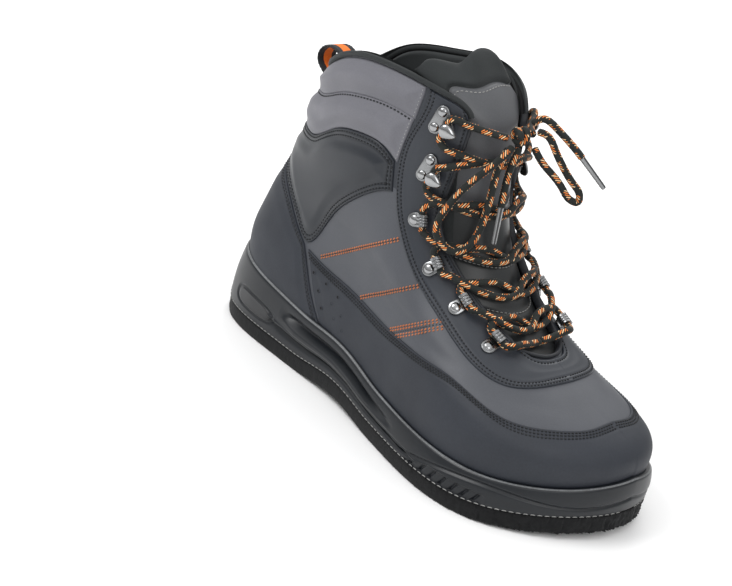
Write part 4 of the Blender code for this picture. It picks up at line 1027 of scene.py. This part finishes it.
# Drain holes: level and angle
VENTS = [(1.87, 65), (1.77, 70.5), (1.37, 68), (1.57, 75.5), (1.22, 73.5), (0.82, 70), (0.72, 75),
         (1.02, 77.5), (0.47, 78.5)]
# Rings of a hole from its rim inwards: radius and height
VENT_RINGS = ((0.00140, -0.0004), (0.00115, 0.00016), (0.00090, 0.00014), (0.00080, 0.00004))


def make_vents():
    """Small drain holes low on both sides: a pressed rim round a flat near-black disc, which is painted shade
    standing in for each hole's depth.
    """
    verts, faces, which = [], [], []
    for side in (-1, 1):
        for level, angle in VENTS:
            normal = skin_normal(np.array(level), np.array(side * angle * 1.0))
            centre = outside(level, side * angle) + normal * (TUCK + 0.00165)
            across = unit(np.cross(normal, [0, 0, 1.0]))
            up = np.cross(across, normal)
            first = len(verts)
            for radius, lift in VENT_RINGS:
                for turn in np.radians(np.arange(0, 360, 30)):
                    way = np.cos(turn) * across + np.sin(turn) * up
                    verts.append(centre + radius * way + normal * lift)
            faces += quads(4, 12, ring=True, first=first).tolist()
            which += [0] * 24 + [1] * 12
            # The flat middle disc is painted shade for the hole
            faces.append(list(range(first + 36, first + 48)))
            which.append(1)
    put("drain_holes", verts, faces, ["nubuck", "hollow_shade"], which)


def edging(name, path, kind, rows):
    """A bound edge: a half-round strip over the upper's cut edge along a path of levels and angles."""
    level, angle = np.asarray(path, float).T
    points = outside(level, angle)
    normal = skin_normal(level, angle)
    inward = -np.cross(normal, unit(np.gradient(points, axis=0)))
    grid = np.stack([points + inward * x + normal * z for x, z in rows], 0)
    put(name, grid, quads(len(rows), len(points)), kind)


def half_round(width, over, under, high):
    """Profile of a bound edge from outside over the top to the inside."""
    rows = [(width, over - 0.0012), (width - 0.0002, over - 0.0003), (width * 0.7, over + 0.0003)]
    middle = (over - under) / 2
    centre = (over + under) / 2
    for turn in np.radians(np.arange(0, 181, 20)):
        rows.append((0.0004 - high * np.sin(turn), centre + middle * np.cos(turn)))
    rows += [(width * 0.7, under), (width, under + 0.0006)]
    return rows


def make_edges():
    top = throat_angle(np.array([COLLAR]))[0]
    turn = np.linspace(-top, top, 420)
    rows = half_round(0.0026, 0.0022, -WALL - 0.0008, 0.0010)
    path = np.stack([np.full(420, COLLAR), turn], 1)
    edging("collar_binding", path, "lining", rows)
    down = np.linspace(COLLAR, SIDES_END, 120)
    left = np.stack([down, -throat_angle(down)], 1)
    spread = 180 - throat_angle(np.array([SIDES_END]))[0]
    bottom = []
    for t in np.linspace(0, np.pi, 61)[1:-1]:
        level = SIDES_END - (SIDES_END - THROAT_BOTTOM) * np.sin(t) ** 0.8
        bottom.append((level, -180 + spread * np.cos(t)))
    right = np.stack([down[::-1], throat_angle(down[::-1]) - 360], 1)
    path = np.concatenate([left, bottom, right])
    rows = half_round(0.0020, 0.0018, -WALL - 0.0002, 0.0007)
    edging("throat_edge", path, "edge", rows)


def make_padding():
    """Foam collar: soft tubes round the inside of the shaft."""
    levels = np.linspace(5.0, 10.95, 70)
    span = throat_angle(np.full(1, 10.0))[0] - 6
    turn = np.linspace(-span, span, 220)
    level, angle = np.meshgrid(levels, turn, indexing="ij")
    swell = ease((level - 8.0) / 0.7) * (0.85 + 0.15 * np.cos(np.radians(angle * 9)))
    dip = 1 - 0.45 * bell(level, 9.7, 0.10)
    fade = ease((11.15 - level) / 0.35) * ease((span - np.abs(angle)) / 10)
    room = 0.0004 + PADDING * swell * dip * fade
    verts = skin_out(level, angle, -WALL - 0.0003 - room)
    thing = put("collar_foam", verts, quads(*level.shape), "lining", nodes=["collar_padding"])


def make_insole():
    turn = np.arange(-180, 180, 1.0)
    loops = []
    for inset, share in ((0, 0.125), (0, 0.8), (0.0012, 1.0), (0.012, 0.8), (0.030, 0.7)):
        loop = skin_out(np.full(360, -1.95), turn, np.full(360, -(WALL + 0.0012 + inset)))
        loop[:, 2] = FOOTBED + GAP + INSOLE * share + ground_lift(loop[:, 0] + HEEL_BACK)
        loops.append(loop)
    put("insole_foam", loops, loft_faces(5, 360), "lining", nodes=["insole"])


# Tongue
TONGUE_FORM = spline([row.level for row in TONGUE_ROWS], [row[1:] for row in TONGUE_ROWS])
# Where the grey panel of the tongue meets its black top: level at each share of the tongue's width
TONGUE_LINE = spline([-1.0, -0.6, -0.2, 0.2, 0.5, 0.75, 1.0], [12.05, 12.1, 12.05, 11.95, 11.75, 11.4, 10.9])
TONGUE_BANDS = (5.35, 6.35, 7.6)
TONGUE_TOP = 12.72
# How much higher the rolled inner half of the tongue's top stands, in metres
TONGUE_ROLL = 0.0055
# The tongue's front lies this far under the upper's surface
TONGUE_FACE = WALL + SKIN_GAP + 0.0004


def tongue_place(level, q, out=0.0):
    """A point of the tongue's front: q -1 and 1 are its outer and inner edges."""
    form = TONGUE_FORM(level)
    angle = -180 + form[..., 2] + form[..., 0] * q
    return skin_out(tongue_level(level, q), angle, out - TONGUE_FACE)


def make_tongue():
    """The padded tongue; its rows of points follow the seam between the grey panel and the black top."""
    q = np.sin(np.linspace(-np.pi / 2, np.pi / 2, 90))
    seam = TONGUE_LINE(q)[..., 0][None]
    below = np.linspace(0, 1, 121)[:, None]
    above = np.linspace(0, 1, 25)[1:, None]
    level = np.concatenate([3.8 + (seam - 3.8) * below, seam + (TONGUE_TOP - 0.02 - seam) * above])
    across = np.broadcast_to(q, level.shape)
    form = TONGUE_FORM(level)
    edge = np.clip(1 - np.abs(across) ** 4, 0.25, 1)
    thick = TONGUE * form[..., 1] * edge
    roll = dome((level - seam) / 0.16)
    brim = dome((TONGUE_TOP - level) / 0.3)
    front = -0.0010 * (1 - dome((1 - np.abs(across)) / 0.08)) - 0.0016 * (1 - brim)
    bands = 0.0
    for place in TONGUE_BANDS:
        bands = bands - 0.0009 * bell(level, place, 0.07)
    bands = bands - 0.0012 * bell(level, seam, 0.05)
    front = front + bands * (np.abs(across) < 0.93) + 0.0016 * roll
    angle = -180 + form[..., 2] + form[..., 0] * across
    height = tongue_level(level, across)
    top = ease((level - seam) / (TONGUE_TOP - seam)) * np.exp(-(((across + 0.50) / 0.46) ** 6))
    lift = TONGUE_ROLL * top[..., None] * np.array([0.25, 0.0, 1.0])
    outer = skin_out(height, angle, front - TONGUE_FACE) + lift
    inner = skin_out(height, angle, -TONGUE_FACE - thick * (0.6 + 0.4 * brim)) + lift
    faces, wall = sheet_faces(*level.shape)
    middle = level[:-1, :-1] + 1e-6
    kind = np.where(middle >= seam[:, :-1], 0, np.where(middle > TONGUE_BANDS[-1], 1, 2)).reshape(-1)
    kind = np.where(np.abs(across[:-1, :-1]).reshape(-1) > 0.96, 0, kind)
    which = np.concatenate([kind, np.zeros(len(kind) + wall)])
    kinds = ["lining", "tongue_grey", "tongue_dark"]
    thing = put("tongue_pad", np.stack([outer, inner]), faces, kinds, which, nodes=["tongue"])
    rows = []
    for place in (*TONGUE_BANDS, None):
        run = np.linspace(-0.9, 0.9, 160)
        level = np.full(160, place - 0.07) if place else TONGUE_LINE(run)[:, 0] - 0.14
        points = tongue_place(level, run, 0.00005)
        form = TONGUE_FORM(level)
        normal = skin_normal(level, -180 + form[:, 2] + form[:, 0] * run)
        rows.append(stitches(points, normal, 0.0026, 0.0018, 0.00030))
    put_stitches("tongue_stitch", rows, "thread_light")


def make_pull_loop():
    """Woven webbing with an orange middle."""
    path = smooth_path(strap_line(), 0.0006)
    step = np.gradient(path, axis=0)
    side = unit(np.stack([-step[:, 2], 0 * step[:, 0], step[:, 0]], -1))
    across = np.linspace(-1, 1, 25)
    half = STRAP_WIDTH / 2
    weave = 0.00010 * np.sign(np.sin(np.arange(len(path)) * 1.6))[:, None] * np.sin(across * 22)[None]
    edge = 0.5 * (1 - dome((1 - np.abs(across)) / 0.10))
    centre = path[:, None] + np.stack([0 * across, half * across, 0 * across], -1)[None]
    far = centre + side[:, None] * (STRAP * (1 - edge) + weave)[..., None]
    near = centre + side[:, None] * (STRAP * edge - weave)[..., None]
    faces, wall = sheet_faces(len(path), len(across))
    stripe = np.tile((np.abs(across[:-1] + 1 / 24) < 0.42).astype(int), len(path) - 1)
    which = np.concatenate([stripe, stripe, np.zeros(wall)])
    put("pull_tab", np.stack([far, near]), faces, ["webbing", "webbing_orange"], which,
        nodes=["pull_loop"])


# Steel
def hull(circles, count):
    """Outline round some circles, given as x, y and radius."""
    points = []
    for turn in 2 * np.pi * np.arange(count) / count:
        way = np.array([np.cos(turn), np.sin(turn)])
        x, y, r = max(circles, key=lambda c: c[0] * way[0] + c[1] * way[1] + c[2])
        points.append((x + r * way[0], y + r * way[1]))
    return np.array(points)


class Shape:
    """Collects points and faces of a small part in its own frame."""

    def __init__(self):
        self.verts = []
        self.faces = []
        self.which = []

    def loft(self, loops, close=(True, True), kind=0):
        first = len(self.verts)
        count = len(loops[0])
        for loop in loops:
            self.verts += [tuple(v) for v in loop]
        self.faces += quads(len(loops), count, ring=True, first=first).tolist()
        for end, base in ((0, first), (1, first + (len(loops) - 1) * count)):
            if close[end]:
                self.faces.append(list(range(base, base + count)))
        self.which += [kind] * (len(self.faces) - len(self.which))

    def slab(self, outline, low, high, bevel):
        centre = outline.mean(0)
        way = unit(centre - outline)
        rows = ((0, low), (0, high - bevel), (bevel * 0.5, high - bevel * 0.3), (bevel, high))
        self.loft([[(x, y, z) for x, y in outline + way * inset] for inset, z in rows])

    def rivet(self, x, y, radius, height):
        """A domed rivet: a brighter dome of painted highlight on a dark seat of painted shade."""
        self.dome(x, y, METAL - 0.0004, radius + 0.0007, 0.0006, kind=1)
        self.dome(x, y, METAL, radius, height, kind=2)

    def dome(self, x, y, z, radius, height, stretch=0.0, steps=6, kind=0):
        """A domed round head; stretch lengthens its +x side into a point."""
        loops = []
        turn = np.radians(np.arange(0, 360, 15))
        long = 1 + stretch * np.clip(np.cos(turn), 0, 1) ** 2
        wide = np.where(np.cos(turn) > 0, 1 - 0.12 * stretch * np.cos(turn), 1.0)
        for k in range(steps + 1):
            t = k / steps * np.pi / 2
            share, lift = max(np.cos(t), 0.02), np.sin(t)
            loops.append(np.stack([x + radius * share * long * np.cos(turn),
                                   y + radius * share * wide * np.sin(turn),
                                   np.full(len(turn), z + height * lift)], -1))
        base = loops[0].copy()
        base[:, 2] = z - 0.0004
        self.loft([base, *loops], kind=kind)


def curl(shape, last, half, radius, notch):
    """The rolled end that holds the lace, with fine grooves round it."""
    turn = np.radians(np.linspace(-12, last, 30))
    across = np.linspace(-half, half, 61)
    loops = []
    for t in turn:
        rows = []
        for r, deep in ((radius + METAL * 0.4, notch), (radius - METAL * 0.4, 0.0)):
            groove = deep * sum(bell(across, place * half, 0.00028) for place in (-0.5, 0.0, 0.5))
            wide = 1 - 0.16 * np.clip(np.sin(t), 0, 1)
            x = REACH + (r - groove) * np.sin(t)
            z = METAL / 2 + CURL_RADIUS - (r - groove) * np.cos(t)
            rows.append(np.stack([x, across * wide, z], -1))
        loops.append(np.concatenate([rows[0], rows[1][::-1]]))
    shape.loft(loops)


def make_hardware(row, side, sign, number):
    origin, to_throat, up, out = hardware_frame(row, sign)
    shape = Shape()
    low = -0.0002
    bevel = 0.0004
    if row.kind == "loop":
        rear = -0.0010
        outline = hull([(rear, 0, 0.0041), (REACH, 0.0016, 0.0020), (REACH, -0.0016, 0.0020)], 44)
        shape.slab(outline, low, METAL, bevel)
        shape.rivet(rear, 0, RIVET_RADIUS, 0.0014)
        curl(shape, 232, 0.0035, 0.0029, 0.00040)
    else:
        rear, rivets = -0.0008, (-0.0034, 0.0063)
        outline = hull([*[(rear, y, 0.0037) for y in rivets], (REACH + 0.001, 0.0004, 0.0030)], 52)
        shape.slab(outline, low, METAL, bevel)
        for y in rivets:
            shape.rivet(rear, y, RIVET_RADIUS - 0.0002, 0.0014)
        curl(shape, 176, 0.0026, CURL_RADIUS, 0.0)
        head = 2 * CURL_RADIUS
        # A dark skirt under the head is painted shade, and the head over it is a brighter painted highlight
        shape.dome(REACH + 0.0016, 0, head - METAL * 0.4, 0.0042, 0.0006, 0.55, kind=1)
        shape.dome(REACH + 0.0016, 0, head, 0.0040, 0.0018, 0.55, kind=2)
    local = np.array(shape.verts)
    verts = origin + local[:, :1] * to_throat + local[:, 1:2] * up + local[:, 2:] * out
    name = f"{row.kind}_{side}_{number}"
    kinds = ["steel", "steel_painted_shade", "steel_painted_highlight"]
    put(name + "_steel", verts, shape.faces, kinds, shape.which, nodes=["lace_" + name],
        sharp=38)


# Lace
BRAID = 0.00040
BRAID_SIDES = 18
LACE_SEEN = 0.0042
# Flecks: their step along the lace, their length and how they lean, in degrees
FLECK_STEP = 0.0108
FLECK = 0.0058
FLECK_LEAN = 42.0


def lace_tube(name, points, nodes=(), radius=LACE_SEEN / 2, seed=0.0):
    """A braided round lace with short slanted flecks at even steps."""
    line = smooth_path(points, BRAID)
    step = unit(np.gradient(line, axis=0))
    side = np.zeros_like(line)
    side[0] = unit(np.cross(step[0], [0.3, 0.1, 1.0]))
    for k in range(1, len(line)):
        side[k] = unit(side[k - 1] - step[k] * (side[k - 1] @ step[k]))
    top = np.cross(step, side)
    around = BRAID_SIDES
    lean = -np.tan(np.radians(FLECK_LEAN)) / radius
    turn = 2 * np.pi * np.arange(around) / around
    gone = travelled(line)
    s, t = np.meshgrid(gone, turn, indexing="ij")
    t = t + s * lean
    twist = 2 * np.pi * s / 0.0052
    weave = np.sin(4 * t + twist) * np.sin(4 * t - twist)
    end = dome(np.minimum(s, gone[-1] - s) / 0.0012)
    r = radius * (0.98 + 0.03 * weave) * (0.25 + 0.75 * end)
    way = np.cos(t)[..., None] * side[:, None] + np.sin(t)[..., None] * top[:, None]
    verts = line[:, None] + r[..., None] * way
    faces = quads(len(line), around, ring=True)
    column = np.broadcast_to(np.arange(around), s[:-1].shape)
    round_it = ((t[:-1] + np.pi / around) / (2 * np.pi) * 3) % 3
    group = (s[:-1] + BRAID / 2 + seed + FLECK_STEP / 3 * np.floor(round_it)) % FLECK_STEP
    hit = (group < FLECK) & (column % 2 == 0) & (round_it % 1.0 < 0.55)
    which = np.where(hit, np.where((column // 2) % 2 == 1, 2, 1), 0).reshape(-1)
    count = len(line) * around
    faces = [*faces.tolist(), list(range(around)), list(range(count - around, count))]
    kinds = ["lace", "lace_orange", "lace_cream"]
    thing = put(name, verts, faces, kinds, np.append(which, [0, 0]), nodes=nodes)
    return thing, gone[-1], line


def through(number, sign):
    """Points of the lace inside one piece of hardware, from its lower end to its upper end."""
    low = mouth(number, sign, -1)[0]
    high = mouth(number, sign, 1)[0]
    return [low + (high - low) * t for t in (0.25, 0.5, 0.75)]


def make_laces():
    """Two halves of one lace from the bar at the toe up through every eyelet to the knot."""
    bar = strand(mouth(0, -1, -1), mouth(0, 1, -1), LACE_LOW, 0.32, 0.0)
    half = len(bar) // 2
    overs, unders = [], []
    for k in range(len(EYELETS) - 1):
        sway, apart = (SWAY_TOP, LACE_OVER_TOP) if k == len(EYELETS) - 2 else (SWAY, LACE_OVER)
        overs.append(strand(mouth(k, -1, 1), mouth(k + 1, 1, -1), LACE_LOW, 0.0, sway))
        unders.append(strand(mouth(k, 1, 1), mouth(k + 1, -1, -1), LACE_LOW + apart, 0.0, sway))
    nodes = ["lace_bar", *[f"lace_crossing_{k + 1}" for k in range(len(EYELETS) - 1)]]
    for side, sign in (("outer", -1), ("inner", 1)):
        start = bar[: half + 1][::-1] if sign == -1 else bar[half:]
        points = list(start)
        hand = sign
        for k in range(len(EYELETS)):
            points += through(k, hand)
            if k < len(EYELETS) - 1:
                piece = overs[k] if hand == -1 else unders[k]
                points += list(piece)
                hand = -hand
        end = "inner" if hand == 1 else "outer"
        points += list(knot_strand(end))[:-1]
        replaced = [*(nodes if side == "outer" else []), f"bow_strand_{end}"]
        lace_tube(f"lace_run_{side}", np.array(points), replaced, seed=0.002 if sign == 1 else 0.0)


def knot_strand(side):
    knot = knot_centre()
    sign = -1 if side == "outer" else 1
    along = np.array([0.0, 0.006, 0.0])
    start, way, row = mouth(len(EYELETS) - 1, sign, 1)
    stop = knot + sign * (along + np.array([0.0, 0.0012, 0.0]))
    near = stop + sign * np.array([-0.0004, 0.003, 0.0])
    a = skin_place(start + way * 0.0025, row.level, sign * row.angle)
    b = skin_place(near, KNOT_PLACE.level, sign * 172.0)
    points = [start, start + way * 0.0025]
    for t, rest in ((0.2, 0.0055), (0.42, 0.0042), (0.64, 0.0045), (0.84, 0.0065)):
        spot = a + (b - a) * t
        points.append(skin_out(spot[0], spot[1], rest))
    return [*points, near, stop]


# Loops of an aglet: place along it and radius
AGLET_LOOPS = ((-0.0012, 0.0018), (0, 0.00165), (0.0004, 0.0016), (AGLET_LENGTH - 0.001, 0.0014),
               (AGLET_LENGTH - 0.0003, 0.0012), (AGLET_LENGTH, 0.0008))


def aglet(name, start, way, node):
    turn = np.radians(np.arange(0, 360, 20))
    side = unit(np.cross(way, [0.3, 0.1, 1.0]))
    ring = np.cos(turn)[:, None] * side + np.sin(turn)[:, None] * np.cross(way, side)
    loops = [start + way * s + r * ring for s, r in AGLET_LOOPS]
    faces = loft_faces(len(loops), len(turn))
    which = [int(k < 5 * 18 and k % 18 in (2, 3, 8, 14, 15)) for k in range(len(faces))]
    return put(name, np.array(loops), faces, ["aglet", "aglet_core"], which, nodes=[node])


def make_bow():
    knot = knot_centre()
    turns = np.linspace(0, 1, 26)
    spin = 2 * np.pi * 1.7 * turns
    wrap = np.stack([knot[0] + 0.0034 * np.cos(spin), knot[1] - 0.0048 + 0.0096 * turns,
                     knot[2] + 0.0034 * np.sin(spin)], -1)
    wrapped = lace_tube("knot_wrap", wrap, ["lace_knot"], radius=0.0020)[0]
    loops = {"inner": [bow_point(row) for row in BOW_LOOP], "outer": [lying_point(row) for row in LYING_LOOP]}
    ends = {"inner": [bow_point(row) for row in BOW_END], "outer": [lying_point(row) for row in LYING_END]}
    for side, lay, pieces in (("inner", "hanging", [wrapped]), ("outer", "loose", [])):
        thing, length = lace_tube(f"loop_{side}_cord", loops[side], [f"bow_loop_{side}"])[:2]
        thing, length, line = lace_tube(f"end_{side}_cord", ends[side], [f"bow_end_{side}"])
        way = unit(line[-1] - line[-3])
        tip = aglet(f"tip_{side}", line[-1] + way * 0.0003, way, f"aglet_{side}")


# Orange double rows on the quarter: level and angle along each, and the sideways places of its rows
BANDS = [
    ([(2.54, 65.9), (3.12, 72.9), (3.77, 81.5), (4.63, 93.1), (5.41, 104.9), (5.97, 114.9)], (0.0,)),
    ([(2.07, 83.3), (2.82, 91.1), (3.88, 103.5), (4.72, 116.3), (5.19, 125.9)], (0.0,)),
    ([(2.09, 97.1), (2.76, 104.9), (3.47, 114.5), (4.05, 124.3), (4.44, 132.7)], (-0.0022, 0.0022)),
]


# Dark seams of the panels: step, length and radius of a stitch
SEAMS = {
    "mudguard": (0.0021, 0.0016, 0.00048),
    "heel_counter": (0.0025, 0.0018, 0.00042),
    "ankle_panel": (0.0024, 0.0017, 0.00042),
    "cuff_lower": (0.0026, 0.0019, 0.00042),
    "eyestay": (0.0021, 0.0015, 0.00042),
}
BAND_HALF = 0.00078


def make_stitches():
    dark, light, orange = [], [], []
    for name, sizes in SEAMS.items():
        for edge, offset in PANELS[name].seams:
            for side in (-1, 1):
                dark.append(stitches(*edge_path(PANELS[name], edge, offset, side), *sizes))
    for name in ("cuff_lower", "cuff_upper"):
        for side in (-1, 1):
            light.append(stitches(*edge_path(PANELS[name], "e", 0.0014, side, 120), 0.0022, 0.0014, 0.00030))
    for rows, shifts in BANDS:
        at = spline(np.arange(len(rows)), rows)
        line = at(np.linspace(0, len(rows) - 1, 160))
        for side in (-1, 1):
            level, angle = line[:, 0], side * line[:, 1]
            points = outside(level, angle, 0.00005)
            normals = skin_normal(level, angle)
            for shift in shifts:
                for row in (-BAND_HALF, BAND_HALF):
                    orange.append(stitches(points, normals, 0.0023, 0.0017, 0.00048, 0.6, shift + row))
            dark.append(stitches(points, normals, 0.0019, 0.0014, 0.00022))
    put_stitches("stitch_dark", dark, "thread_dark")
    put_stitches("stitch_light", light, "thread_light")
    put_stitches("stitch_orange", orange, "thread_orange")


# Floor and light
def area(name, place, aim, size, power):
    data = bpy.data.lights.new(name, "AREA")
    data.energy = power
    data.size = size
    way = unit(np.array(place, float) - np.array(aim, float))
    right = unit(np.cross([0, 0, 1.0], way))
    stand(name, data, right, np.cross(way, right), way, place)


# The sky is darker towards the ground, which the steel mirrors
SKY = {"From Min": -0.05, "From Max": 0.95, "To Min": 0.28, "To Max": 1.22}
FLOOR_LOOK = {"Base Color": (0.93, 0.93, 0.93, 1), "Roughness": 0.9, "Specular IOR Level": 0.1}


def studio():
    mesh = bpy.data.meshes.new("floor")
    mesh.from_pydata([(-9, -9, 0), (9, -9, 0), (9, 9, 0), (-9, 9, 0)], [], [(0, 1, 2, 3)])
    floor = bpy.data.objects.new("floor", mesh)
    look = bpy.data.materials.new("floor_white")
    look.use_nodes = True
    shader = look.node_tree.nodes["Principled BSDF"]
    for socket, value in FLOOR_LOOK.items():
        shader.inputs[socket].default_value = value
    mesh.materials.append(look)
    bpy.context.scene.collection.objects.link(floor)
    world = bpy.data.worlds.new("studio")
    world.use_nodes = True
    tree = world.node_tree
    split = add_node(tree, "SeparateXYZ", feeds={0: add_node(tree, "TexCoord").outputs["Generated"]})
    sky = add_node(tree, "MapRange", SKY, {"Value": split.outputs["Z"]})
    tree.nodes["Background"].inputs["Color"].default_value = (1, 1, 1, 1)
    tree.links.new(sky.outputs["Result"], tree.nodes["Background"].inputs["Strength"])
    bpy.context.scene.world = world
    bpy.context.scene.view_settings.view_transform = "Standard"
    area("key", (-0.4, -1.0, 1.5), (0.10, 0, 0.08), 0.8, 14)
    area("fill", (1.4, -0.6, 1.0), (0.12, 0, 0.05), 0.8, 5)
    area("rim", (-0.6, 1.2, 1.2), (0.05, 0, 0.12), 0.8, 8)


camera()
make_bow()
make_laces()
make_felt()
make_midsole()
make_plates()
make_upper()
for title, look, place in (("mudguard", "nubuck", "nubuck"), ("heel_counter", "nubuck", "nubuck"),
                           ("ankle_panel", "smooth", "smooth"), ("cuff_lower", "cuff", "quarter"),
                           ("cuff_upper", "cuff", "quarter"), ("eyestay", "eyestay", "eyestay")):
    make_panel(title, look)
make_vents()
make_edges()
make_padding()
make_insole()
make_tongue()
make_pull_loop()
for hand, way in (("outer", -1), ("inner", 1)):
    for index, eyelet in enumerate(EYELETS):
        make_hardware(eyelet, hand, way, index + 1)
make_stitches()
studio()
